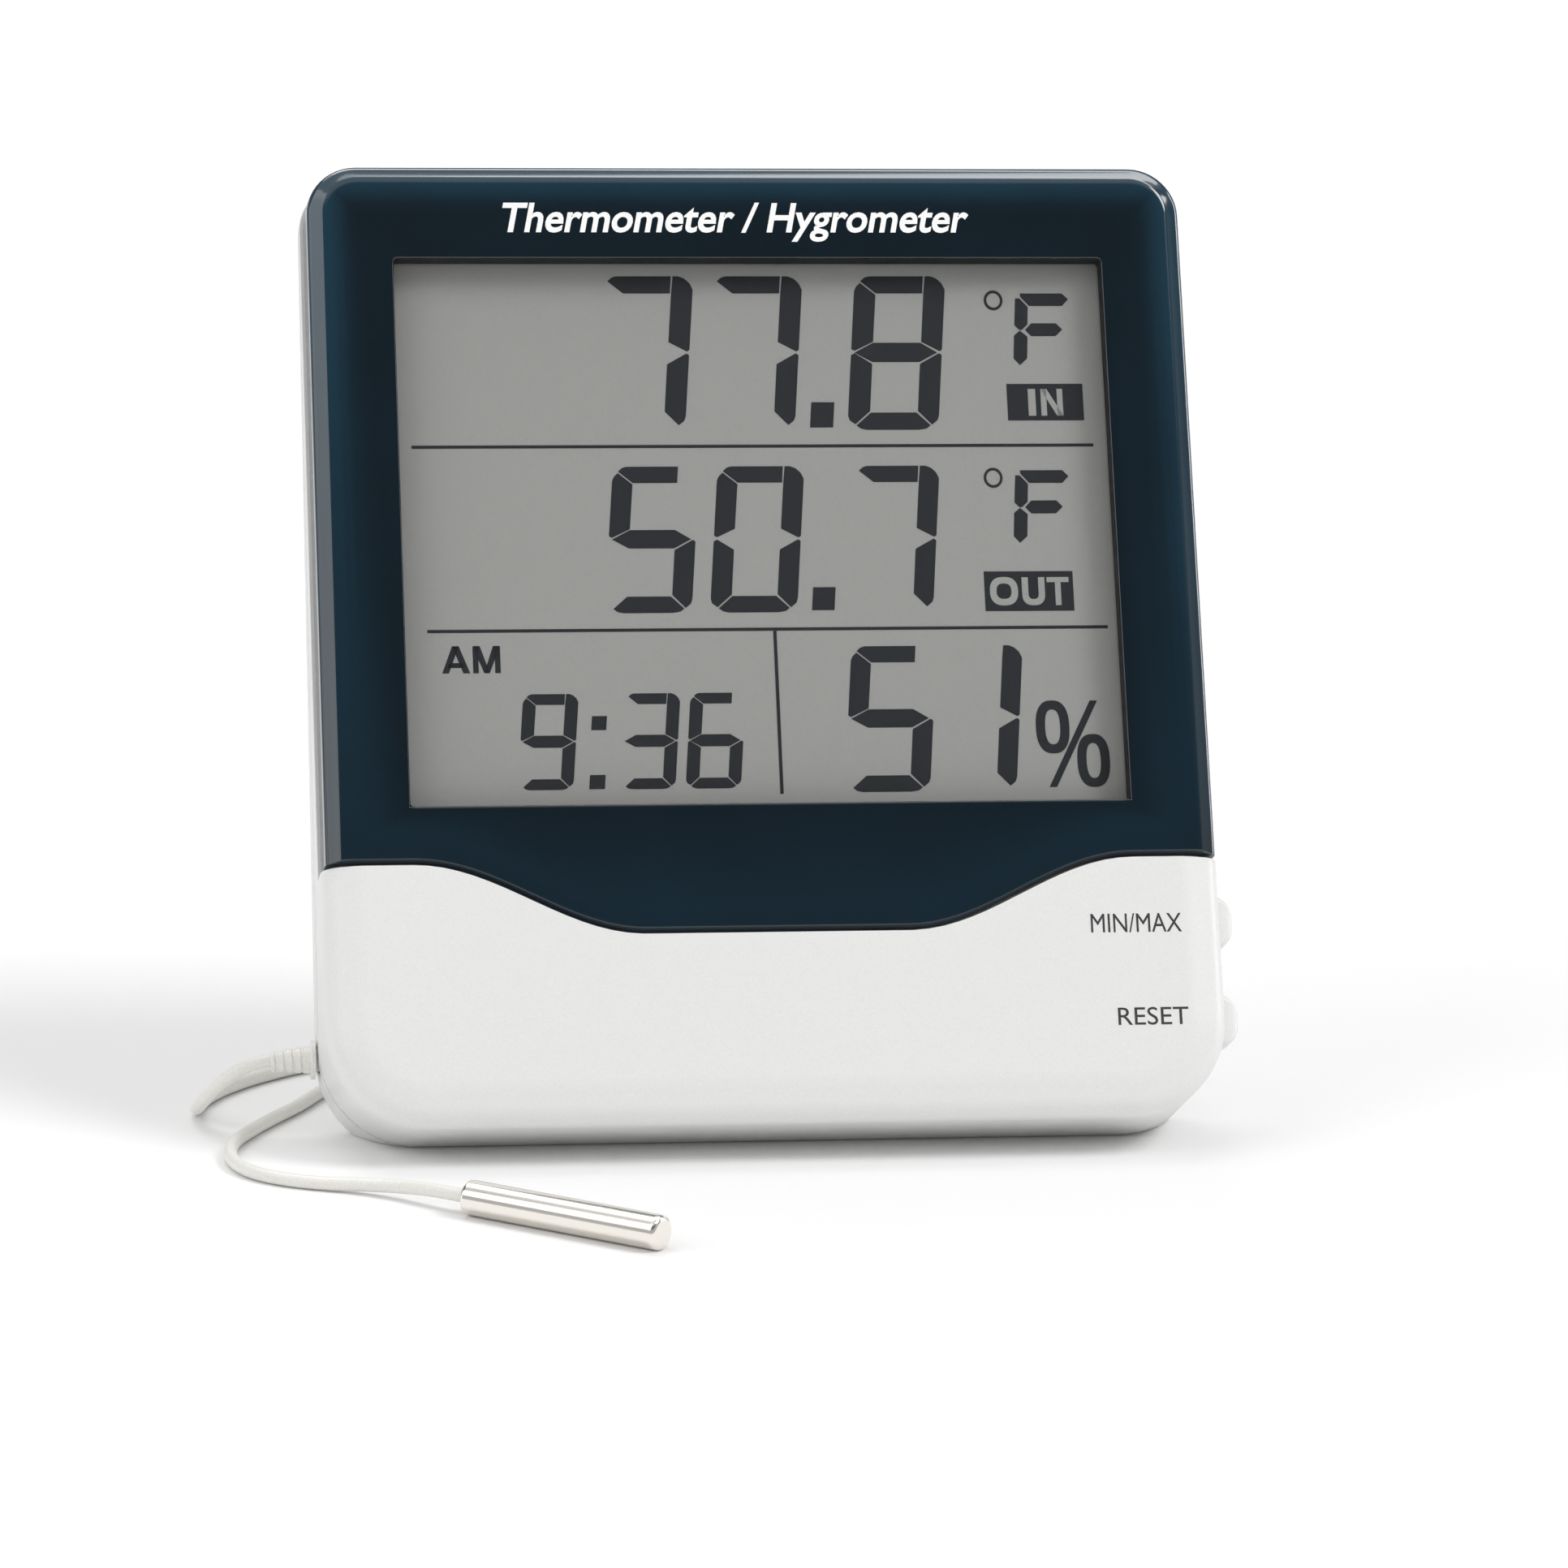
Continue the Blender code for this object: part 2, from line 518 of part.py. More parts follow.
def electronics(stance, mats):
    dome = [(0, 1.4 * MM)] + [(5.5 * MM * sin(radians(a)), 1.4 * MM * cos(radians(a)))
                              for a in (25, 50, 75)] + [(5.6 * MM, 0), (0, 0)]
    place(turned("chip_potting", dome, 24), stance, mats["epoxy"], (-14 * MM, PART_FACE, 60 * MM),
          (-pi / 2, 0, 0))
    place(cylinder("quartz_crystal", 1.0 * MM, (4 * MM, PART_FACE + 1.0 * MM, 62 * MM),
                   (10 * MM, PART_FACE + 1.0 * MM, 62 * MM), 16), stance, mats["steel"])
    sensor = box("humidity_sensor", (-41 * MM, PART_FACE, 37 * MM), (-33 * MM, 11.0 * MM, 43 * MM))
    place(sensor, stance, mats["inner_plastic"])
    for i in range(3):
        z = (38.2 + 1.4 * i) * MM
        cut(sensor, box("sensor_slot", (-40 * MM, 10.1 * MM, z), (-34 * MM, 0.013, z + 0.7 * MM)))
    bead = bmesh.new()
    bmesh.ops.create_uvsphere(bead, u_segments=12, v_segments=8, radius=1.1 * MM)
    bmesh.ops.translate(bead, vec=(-42.3 * MM, 12.0 * MM, 50 * MM), verts=bead.verts)
    thermistor = from_bmesh("indoor_thermistor", bead)
    place(thermistor, stance, mats["epoxy"])
    for x in (-42.9, -41.7):
        leg = [(x * MM, PART_FACE, 50 * MM), (x * MM, 11.8 * MM, 50 * MM)]
        join(thermistor, mesh_from(curve("thermistor_leg", leg, 0.25 * MM)))
    for name, height in KEY_HEIGHTS.items():
        body = box(name + "_switch", (39.6 * MM, PART_FACE, height - 2.5 * MM),
                   (43.2 * MM, 12.0 * MM, height + 2.5 * MM))
        place(body, stance, mats["switch"])
        join(body, cylinder("plunger", 0.9 * MM, (42.0 * MM, 10.2 * MM, height),
                            (44.3 * MM, 10.2 * MM, height), 12))
    for name, x in REAR_KEYS.items():
        place(box(name.replace("key", "switch"), (x - 3 * MM, PART_FACE, REAR_KEY_HEIGHT - 3.4 * MM),
                  (x + 3 * MM, 10.0 * MM, REAR_KEY_HEIGHT + 2.6 * MM)), stance, mats["switch"])
    for i, (x, z) in enumerate(BOARD_SCREWS):
        place(screw(f"board_screw_{i + 1}", 3.9 * MM, 1.5 * MM, 0.8 * MM, 0.9 * MM), stance, mats["steel"],
              (x, 9.8 * MM, z), (-pi / 2, 0, 0))


# ---- keys -------------------------------------------------------------------------------------

def side_key(name, height, stance, mat):
    """A domed key in the right wall, with a flange inside it; it slides along X."""
    outer = KEY_PEAK - 48.0 * MM
    body = box(name, (0, -2.0 * MM, -3.0 * MM), (outer, 2.0 * MM, 3.0 * MM))
    bevel = body.modifiers.new("dome", "BEVEL")
    bevel.width = 0.9 * MM
    bevel.segments = 2
    place(body, stance, mat, (48.0 * MM, KEY_DEPTH, height))
    flange = box("flange", (-1.4 * MM, -2.9 * MM, -3.0 * MM), (-0.6 * MM, 2.9 * MM, 3.0 * MM))
    stem = box("stem", (-2.7 * MM, -1.2 * MM, -1.2 * MM), (0.9 * MM, 1.2 * MM, 1.2 * MM))
    for piece in (flange, stem):
        piece.parent = body
    return join(body, flange, stem)


def rear_key(name, x, rear_plane, mat):
    """A round key in the rear wall; it slides along the rear plane's normal."""
    profile = [(0, 0.9 * MM), (2.0 * MM, 0.85 * MM), (2.7 * MM, 0.5 * MM), (2.9 * MM, 0),
               (2.9 * MM, -2.2 * MM), (3.9 * MM, -2.2 * MM), (3.9 * MM, -2.9 * MM), (0, -2.9 * MM)]
    return place(turned(name, profile, 20), rear_plane, mat, (x, 0, REAR_KEY_HEIGHT), (-pi / 2, 0, 0))


# ---- power --------------------------------------------------------------------------------------

def power(rear_plane, stance, mats):
    nub = 24.4 * MM
    cell = [(0, nub), (1.7 * MM, nub), (1.9 * MM, nub - 0.2 * MM), (1.9 * MM, nub - 0.9 * MM),
            (4.9 * MM, nub - 0.9 * MM), (CELL_RADIUS, nub - 1.2 * MM), (CELL_RADIUS, -19.8 * MM),
            (4.9 * MM, -20.1 * MM), (0, -20.1 * MM)]
    place(turned("battery_cell", cell, 28), rear_plane, mats["cell"], (0, -CELL_SINK, BAY_HEIGHT),
          (0, pi / 2, 0))
    helix = []
    turns, steps = 4, 10
    for i in range(turns * steps + 1):
        share = i / (turns * steps)
        radius = (4.2 - 1.9 * share) * MM
        angle = 2 * pi * i / steps
        helix.append((-24.2 * MM + 3.4 * MM * share, -CELL_SINK + radius * cos(angle),
                      BAY_HEIGHT + radius * sin(angle)))
    place(curve("battery_spring", helix, 0.3 * MM, 1), rear_plane, mats["steel"])
    for name, x in (("negative_plate", -25.3 * MM), ("positive_plate", 24.8 * MM)):
        place(box(name, (x, -CELL_SINK - 4.5 * MM, BAY_HEIGHT - 4.6 * MM),
                  (x + 0.4 * MM, -CELL_SINK + 4.5 * MM, BAY_HEIGHT + 4.6 * MM)), rear_plane, mats["steel"])
    for name, x, reach, mat in (("positive_lead", 24.0, 16.0, "red_wire"),
                                ("negative_lead", -24.0, -18.0, "black_wire")):
        route = [Vector(p) * MM for p in ((x, 10.6, 31.4), (x, 10.6, 33.5), ((x + reach) / 2, 11.2, 36.0),
                                          (reach, 10.9, 38.0), (reach, 9.9, 38.6), (reach, 9.2, 38.7))]
        place(curve(name, smooth(route, 1.2 * MM), 0.45 * MM), stance, mats[mat])


def battery_door(rear_plane, mat):
    door = box("battery_door", (-DOOR_HALF_LENGTH, -DOOR_THICK, -DOOR_HALF_WIDTH),
               (DOOR_HALF_LENGTH, 0, DOOR_HALF_WIDTH))
    place(door, rear_plane, mat, (0, 0, BAY_HEIGHT))
    grip = cylinder("finger_notch", 7.0 * MM, (0, 6.5 * MM, 5.2 * MM), (0, 6.5 * MM, 9 * MM), 28)
    grip.parent = door
    return cut(door, grip)


# ---- stand --------------------------------------------------------------------------------------

def hinge_place():
    """Depth behind the face's bottom edge and height above the table, of the hinge axis."""
    y = DEPTH_BOTTOM - HINGE_SINK * cos(WEDGE) - HINGE_HEIGHT * sin(WEDGE)
    z = HINGE_HEIGHT * cos(WEDGE) - HINGE_SINK * sin(WEDGE)
    return (y * cos(LEAN) + z * sin(LEAN),
            z * cos(LEAN) - y * sin(LEAN) + CONTACT_DEPTH * sin(LEAN))


def leg_length():
    return hinge_place()[1] / cos(STAND_ANGLE)


def stand_foot_height():
    """How far up the rear face the folded stand's foot ends."""
    return HINGE_HEIGHT - leg_length() - 0.25 * MM


def inside_edge(points):
    """The inner edge's points, from its right side round to its left."""
    return [p for p in points if p[0] > 0][::-1] + [p for p in points if p[0] < 0][::-1]


def stand(rear_plane, mat):
    foot = -leg_length() - MM
    inner, outer, half = STAND_INNER, STAND_OUTER, STAND_THICK / 2
    corner = 3.0 * MM
    lower = [p for p in rounded(outer, foot, 0, corner, corner) if p[1] < foot + 1.01 * corner]
    inside = [p for p in rounded(inner, foot + 6.6 * MM, 0, 2 * MM, 2 * MM, 4) if p[1] < foot + 8.7 * MM]
    top = 0.9 * MM
    right = [p for p in lower if p[0] > 0] + [(outer, top), (inner, top)]
    left = [(-inner, top), (-outer, top)] + [p for p in lower if p[0] < 0]
    frame = plate("stand", right + inside_edge(inside) + left, -half, half)
    place(frame, rear_plane, mat, (0, -HINGE_SINK, HINGE_HEIGHT), (STAND_ANGLE + LEAN - WEDGE, 0, 0))
    pins = [cylinder("pin", 0.9 * MM, (side * 34 * MM, 0, 0), (side * 38.3 * MM, 0, 0), 20)
            for side in (-1, 1)]
    table = box("stand_trim", (-0.1, -0.05, -0.1), (0.1, 0.05, -leg_length() * cos(STAND_ANGLE)))
    table.rotation_euler = (-STAND_ANGLE, 0, 0)
    for piece in (*pins, table):
        piece.parent = frame
    join(frame, *pins)
    return cut(frame, table)


# ---- cable and probe ----------------------------------------------------------------------------

def grommet(stance, mats):
    """Strain relief: flange inside the wall, collar, then a taper out to the cable."""
    profile = [(0, 4.2 * MM), (1.05 * MM, 4.2 * MM), (1.45 * MM, 0.9 * MM), (2.3 * MM, 0.8 * MM),
               (2.3 * MM, 0.2 * MM), (1.3 * MM, 0.2 * MM), (1.3 * MM, -2.4 * MM), (1.8 * MM, -2.4 * MM),
               (1.8 * MM, -3.1 * MM), (0, -3.1 * MM)]
    place(turned("strain_relief", profile, 20), stance, mats["cable"], EXIT, (0, -pi / 2, 0))
    inner = EXIT + Vector((3.5 * MM, 0, 0))
    route = [inner, inner + Vector((2, -0.4, 0.6)) * MM, inner + Vector((4.6, -1.6, 5.0)) * MM,
             inner + Vector((6.0, -3.5, 13.0)) * MM, Vector((-40.2, 11.0, 33.0)) * MM,
             Vector((-39.8, 9.6, 34.6)) * MM, Vector((-39.8, 9.2, 34.7)) * MM]
    place(curve("sensor_lead", smooth(route, 2.0 * MM), CABLE_RADIUS), stance, mats["cable"])


def cable(table, mats):
    for name, route in (("cable_to_coil", CABLE_TO_COIL), ("cable_to_probe", CABLE_TO_PROBE)):
        place(curve(name, smooth(route, 3.0 * MM), CABLE_RADIUS), table, mats["cable"])
    inner, outer = COIL_RADIUS - COIL_HALF_WIDTH, COIL_RADIUS + COIL_HALF_WIDTH
    ring = [(inner, COIL_TOP), (outer, COIL_TOP), (outer, COIL_BASE), (inner, COIL_BASE),
            (inner, COIL_TOP)]
    place(turned("cable_coil", ring, 40), table, mats["cable"], COIL_CENTRE)
    reach = COIL_HALF_WIDTH + GAP
    wide = reach + 0.4 * MM
    tie = box("cable_tie", (-wide, -1.5 * MM, 0.05 * MM), (wide, 1.5 * MM, COIL_TOP + 0.7 * MM))
    place(tie, table, mats["tie"], COIL_CENTRE + Vector((COIL_RADIUS, 0, 0)))
    inside = box("tie_inside", (-reach, -0.01, COIL_BASE - GAP), (reach, 0.01, COIL_TOP + GAP))
    inside.parent = tie
    cut(tie, inside)


def probe(table, mats):
    """A drawn metal tube, closed at its far end, with the bead and the seal inside it."""
    heading = (0, pi / 2, atan2(PROBE_HEADING.y, PROBE_HEADING.x))
    r, inner, rim = PROBE_RADIUS, PROBE_RADIUS - 0.35 * MM, 0.45 * MM
    nose = [(r - rim + rim * sin(radians(a)), PROBE_LENGTH - rim + rim * cos(radians(a)))
            for a in (0, 30, 60, 90)]
    profile = [(0, PROBE_LENGTH)] + nose + [(r, 0.25 * MM), (r - 0.2 * MM, 0), (inner, 0),
                                            (inner, PROBE_LENGTH - 0.5 * MM), (0, PROBE_LENGTH - 0.5 * MM)]
    place(turned("probe_tube", profile, 28), table, mats["steel"], PROBE_REAR, heading)
    seal = [(0, 6 * MM), (inner - GAP, 6 * MM), (inner - GAP, 0.1 * MM), (0, 0.1 * MM)]
    place(turned("probe_seal", seal, 20), table, mats["epoxy"], PROBE_REAR, heading)
    bead = [(0, 23.6 * MM), (0.7 * MM, 23.3 * MM), (1.0 * MM, 22.4 * MM), (0.7 * MM, 21.4 * MM),
            (0.45 * MM, 21.0 * MM), (0.45 * MM, 6.4 * MM), (0, 6.4 * MM)]
    place(turned("probe_thermistor", bead, 16), table, mats["epoxy"], PROBE_REAR, heading)


# ---- whole object -------------------------------------------------------------------------------

def materials():
    return {
        "white": material("white_abs", (0.78, 0.78, 0.77), 0.42),
        "bezel": material("bezel_gloss", (0.012, 0.025, 0.04), 0.16),
        "clear": material("clear_window", (0.9, 0.92, 0.93), 0.05, alpha=0.3),
        "lcd": material("lcd_grey", (0.31, 0.31, 0.29), 0.4),
        "inner_plastic": material("inner_plastic", (0.75, 0.75, 0.73), 0.5),
        "board": material("board_green", (0.03, 0.16, 0.07), 0.5),
        "strip": material("contact_rubber", (0.5, 0.32, 0.4), 0.7),
        "epoxy": material("epoxy_black", (0.02, 0.02, 0.02), 0.35),
        "switch": material("switch_black", (0.03, 0.03, 0.03), 0.5),
        "steel": material("nickel_steel", (0.72, 0.71, 0.68), 0.2, 1.0),
        "cell": material("cell_label", (0.1, 0.12, 0.2), 0.35),
        "red_wire": material("red_wire", (0.5, 0.03, 0.03), 0.45),
        "black_wire": material("black_wire", (0.02, 0.02, 0.02), 0.45),
        "cable": material("cable_white", (0.75, 0.74, 0.71), 0.4),
        "tie": material("tie_white", (0.8, 0.8, 0.78), 0.45),
    }


def build():
    clear_scene()
    mats = materials()
    table = empty("table", None, (-ORIGIN_X, -ORIGIN_Y, 0))
    stance = empty("stance", table, (0, 0, CONTACT_DEPTH * sin(LEAN)), -LEAN)
    rear_plane = empty("rear_plane", stance, (0, DEPTH_BOTTOM, 0), WEDGE)
    front_housing(stance, mats["white"])
    bezel(stance, mats["bezel"])
    rear_housing(stance, rear_plane, mats["white"])
    display(stance, mats)
    electronics(stance, mats)
    for name, height in KEY_HEIGHTS.items():
        side_key(name + "_key", height, stance, mats["white"])
    for name, x in REAR_KEYS.items():
        rear_key(name, x, rear_plane, mats["white"])
    power(rear_plane, stance, mats)
    battery_door(rear_plane, mats["white"])
    stand(rear_plane, mats["white"])
    for i, (x, z, sink) in enumerate(SCREW_PLACES):
        place(screw(f"case_screw_{i + 1}", 6.2 * MM, 1.9 * MM, 1.0 * MM, 1.3 * MM), stance, mats["steel"],
              (x, rear(z) - sink + 1.3 * MM, z), (-pi / 2, 0, 0))
    grommet(stance, mats)
    cable(table, mats)
    probe(table, mats)


build()
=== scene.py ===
"""Looks of the maximum-minimum thermometer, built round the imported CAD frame.

All shapes are given in millimetres in one of three frames:
TABLE   X to the right, Y to the rear from the case's front edge, Z up from the table
DEVICE  X to the right, Y from the front face to the rear, Z up the face
REAR    X to the right, Y out of the rear face, Z up the rear face
"""
import json
from math import atan2, cos, pi, radians, sin, sqrt

import bmesh
import bpy
from mathutils import Matrix, Vector

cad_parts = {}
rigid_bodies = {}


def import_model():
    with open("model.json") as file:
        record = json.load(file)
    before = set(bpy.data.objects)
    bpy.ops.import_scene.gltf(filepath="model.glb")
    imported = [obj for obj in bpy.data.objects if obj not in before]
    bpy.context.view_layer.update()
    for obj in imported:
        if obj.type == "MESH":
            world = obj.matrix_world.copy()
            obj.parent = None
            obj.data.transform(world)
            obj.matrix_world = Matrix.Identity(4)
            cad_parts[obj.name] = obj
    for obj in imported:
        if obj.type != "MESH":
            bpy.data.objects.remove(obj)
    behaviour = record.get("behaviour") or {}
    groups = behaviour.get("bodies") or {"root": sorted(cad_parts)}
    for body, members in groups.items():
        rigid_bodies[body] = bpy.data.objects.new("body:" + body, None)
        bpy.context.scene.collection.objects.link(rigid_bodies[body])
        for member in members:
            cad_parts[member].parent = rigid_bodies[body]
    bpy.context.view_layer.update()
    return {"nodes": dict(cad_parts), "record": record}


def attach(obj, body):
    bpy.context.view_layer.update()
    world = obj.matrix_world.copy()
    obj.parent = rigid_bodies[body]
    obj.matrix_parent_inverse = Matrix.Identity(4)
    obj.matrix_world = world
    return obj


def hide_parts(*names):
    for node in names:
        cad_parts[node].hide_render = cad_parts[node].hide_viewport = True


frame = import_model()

MM = 0.001
LEAN = radians(25.0)  # of the face, back from upright
CONTACT_DEPTH = 13.5  # where the flat under the case starts, behind the face
ORIGIN_X, ORIGIN_Y = 1.3, 27.917  # the frame's origin in TABLE
HALF_WIDTH, HEIGHT = 49.9, 109.6
DEPTH_BOTTOM, DEPTH_TOP = 20.5, 10.5
PARTING_BOTTOM, PARTING_TOP = 13.5, 8.2
WEDGE = atan2(DEPTH_BOTTOM - DEPTH_TOP, HEIGHT)
WALL = 1.8
GAP = 0.3  # between pieces that meet
CHIN_LOW, CHIN_RISE = 20.8, 8.0  # the chin's edge in the middle, and its rise to the sides
CHIN_INNER, CHIN_OUTER = 14.5, 40.0  # where that rise starts and ends
BEZEL_HALF, BEZEL_TOP, BEZEL_CORNER = 49.5, 109.2, 5.6
BEZEL_FRONT, BEZEL_DEPTH = 1.8, 7.0  # back of its front plate, and of its rim
STATIONS = 72  # along the bezel's edge over the chin
WINDOW = (40.1, 35.35, 98.2)  # half width, bottom, top
LCD_FACE = 3.2
INK = 0.02  # how far print stands off a face
HINGE = (-1.8, 58.0)  # out of the rear face, up it
STAND_ANGLE = radians(10.0)
PIN_RADIUS = 0.9
BAY_HEIGHT = 21.0  # of the battery bay's middle, up the rear face
BAY_HALF, BAY_RISE, BAY_DEPTH = 25.6, 5.7, 12.6
CELL_DEPTH = 7.15  # of the cell's axis, under the rear face
KEYHOLE_ENTRY, KEYHOLE_END = 95.4, 100.9
SLOT_HALF = 1.9  # half the width of the keyhole's slot
REAR_KEY_HEIGHT = 72.0
REAR_KEYS = {"mode_key": -16.0, "set_key": 0.0, "unit_key": 16.0}
SIDE_KEYS = {"minmax_key": 22.9, "reset_key": 11.7}
KEY_DEPTH = 9.2
SCREWS = [(side * x, z, sink) for x, z, sink in ((36.0, 103.6, 1.5), (41.5, 6.3, 4.6)) for side in (-1, 1)]
EXIT = Vector((-49.9, 15.6, 10.4))  # where the cable leaves the left side, in DEVICE
SLEEVE_Y, SLEEVE_Z = 18.53, 8.54  # the strain relief's axis, in TABLE
CORD_RADIUS = 0.75
COIL_CENTRE = Vector((4.0, 73.0))
COIL_RADIUS = 17.0
COIL_TOP = 11.35
PROBE_REAR = Vector((-36.42, -16.69, 1.9))
PROBE_HEADING = atan2(-0.656, 0.755)
PROBE_LENGTH, PROBE_RADIUS = 24.8, 1.9


def shift(x, y, z):
    return Matrix.Translation((x * MM, y * MM, z * MM))


def turn(angle, axis="X"):
    return Matrix.Rotation(angle, 4, axis)


TABLE = shift(-ORIGIN_X, -ORIGIN_Y, 0)
DEVICE = TABLE @ shift(0, 0, CONTACT_DEPTH * sin(LEAN)) @ turn(-LEAN)
TO_REAR = shift(0, DEPTH_BOTTOM, 0) @ turn(WEDGE)
REAR = DEVICE @ TO_REAR
SHOWN = bpy.context.scene.collection.objects


# ---- materials ----

def linear(r, g, b):
    """A linear colour from one in display values from 0 to 255."""
    return [((v / 255 + 0.055) / 1.055) ** 2.4 if v > 10 else v / 255 / 12.92 for v in (r, g, b)] + [1.0]


def add(tree, kind, **values):
    """A shader node; values are its input sockets, by name with _ for a space."""
    node = tree.nodes.new("ShaderNode" + kind)
    for key, value in values.items():
        node.inputs[key.replace("_", " ")].default_value = value
    return node


def link(tree, source, output, target, socket):
    tree.links.new(source.outputs[output], target.inputs[socket])


def ramp(tree, *stops):
    """A colour ramp through places and colours."""
    node = add(tree, "ValToRGB")
    elements = node.color_ramp.elements
    elements[0].position, elements[1].position = stops[0][0], stops[-1][0]
    for place, _ in stops[1:-1]:
        elements.new(place)
    for element, (_, colour) in zip(elements, stops):
        element.color = colour
    return node


def principled(name, colour, roughness, **values):
    """A material and its Principled shader; values are its other sockets, by name with _ for a space."""
    mat = bpy.data.materials.new(name)
    mat.use_nodes = True
    shader = mat.node_tree.nodes["Principled BSDF"]
    for key, value in {"Base_Color": colour, "Roughness": roughness, **values}.items():
        shader.inputs[key.replace("_", " ")].default_value = value
    return mat, shader


def noise(mat, scale, detail=4.0, stretch=(1, 1, 1)):
    """A noise texture in the piece's own coordinates, in features per metre."""
    tree = mat.node_tree
    mapping = add(tree, "Mapping", Scale=stretch)
    texture = add(tree, "TexNoise", Scale=scale, Detail=detail)
    link(tree, add(tree, "TexCoord"), "Object", mapping, "Vector")
    link(tree, mapping, "Vector", texture, "Vector")
    return texture


def bump(mat, shader, texture, height):
    """Relief from a texture, with its height in mm."""
    node = add(mat.node_tree, "Bump", Distance=height * MM, Strength=1.0)
    link(mat.node_tree, texture, "Fac", node, "Height")
    link(mat.node_tree, node, "Normal", shader, "Normal")


def vary(mat, shader, texture, dark, light):
    """Base colour between two colours by a texture."""
    between = ramp(mat.node_tree, (0.3, dark), (0.7, light))
    link(mat.node_tree, texture, "Fac", between, "Fac")
    link(mat.node_tree, between, "Color", shader, "Base Color")


def vary_roughness(mat, shader, texture, low, high):
    span = add(mat.node_tree, "MapRange", To_Min=low, To_Max=high)
    link(mat.node_tree, texture, "Fac", span, "Value")
    link(mat.node_tree, span, "Result", shader, "Roughness")


def moulded(name, dark, light, roughness, grain=2600, height=0.006):
    """Moulded plastic: a fine grain in colour and relief, and a slightly uneven sheen."""
    dark, light = linear(*dark), linear(*light)
    mat, shader = principled(name, light, roughness)
    vary(mat, shader, noise(mat, 4000, 2), dark, light)
    vary_roughness(mat, shader, noise(mat, 1600, 2), roughness - 0.02, roughness + 0.03)
    bump(mat, shader, noise(mat, grain, 3), height)
    return mat


def clear_material():
    """Clear acrylic with the faint haze of a moulded window."""
    mat, shader = principled("clear_acrylic", (0.05, 0.055, 0.06, 1), 0.04, Alpha=0.06)
    haze = noise(mat, 500, 3)
    vary_roughness(mat, shader, haze, 0.03, 0.06)
    bump(mat, shader, haze, 0.0005)
    return mat


def metal(name, colour, roughness, stretch=(1, 1, 1), scale=900, height=0.003):
    """Metal with fine marks, drawn out along an axis where stretch is small."""
    mat, shader = principled(name, colour, roughness, Metallic=1.0)
    texture = noise(mat, scale, 4, stretch)
    vary_roughness(mat, shader, texture, roughness - 0.05, roughness + 0.08)
    bump(mat, shader, texture, height)
    return mat


def bezel_material():
    """Glossy tinted plastic with painted light: its colour is lighter towards the rim, as where light gets
    in behind it.
    """
    mat, shader = principled("bezel_gloss", linear(24, 38, 50), 0.13, Coat_Weight=0.6, Coat_Roughness=0.05,
                             IOR=1.5)
    tree = mat.node_tree
    rim = add(tree, "Attribute")
    rim.attribute_name = "rim"
    # painted light: where the rim attribute rises the colour goes lighter, for light coming in through the
    # edge
    tint = ramp(tree, (0, linear(7, 27, 38)), (1, linear(26, 60, 77)))
    mixed = add(tree, "MixRGB", Fac=0.35)
    mixed.blend_type = "MULTIPLY"
    link(tree, rim, "Fac", tint, "Fac")
    link(tree, tint, "Color", mixed, "Color1")
    link(tree, noise(mat, 90, 4), "Fac", mixed, "Color2")
    link(tree, mixed, "Color", shader, "Base Color")
    bump(mat, shader, noise(mat, 3000, 2), 0.0015)
    return mat


def board_material():
    """Solder mask with a faint pattern of tracks under it."""
    mat, shader = principled("board_green", linear(20, 88, 50), 0.35)
    vary(mat, shader, noise(mat, 700, 1, (1, 1, 0.2)), linear(16, 74, 42), linear(28, 104, 60))
    return mat


def cell_material():
    """Printed wrapper: dark body with a copper-coloured end band."""
    body, band, band_start = linear(30, 32, 38), linear(176, 110, 62), 9.0
    mat, shader = principled("cell_wrapper", body, 0.28, Metallic=0.6)
    tree = mat.node_tree
    split = add(tree, "SeparateXYZ")
    edge = add(tree, "Math")
    edge.operation = "GREATER_THAN"
    edge.inputs[1].default_value = band_start * MM
    tint = ramp(tree, (0, body), (1, band))
    link(tree, add(tree, "TexCoord"), "Object", split, "Vector")
    link(tree, split, "Z", edge, 0)
    link(tree, edge, "Value", tint, "Fac")
    link(tree, tint, "Color", shader, "Base Color")
    bump(mat, shader, noise(mat, 1500, 2), 0.002)
    return mat


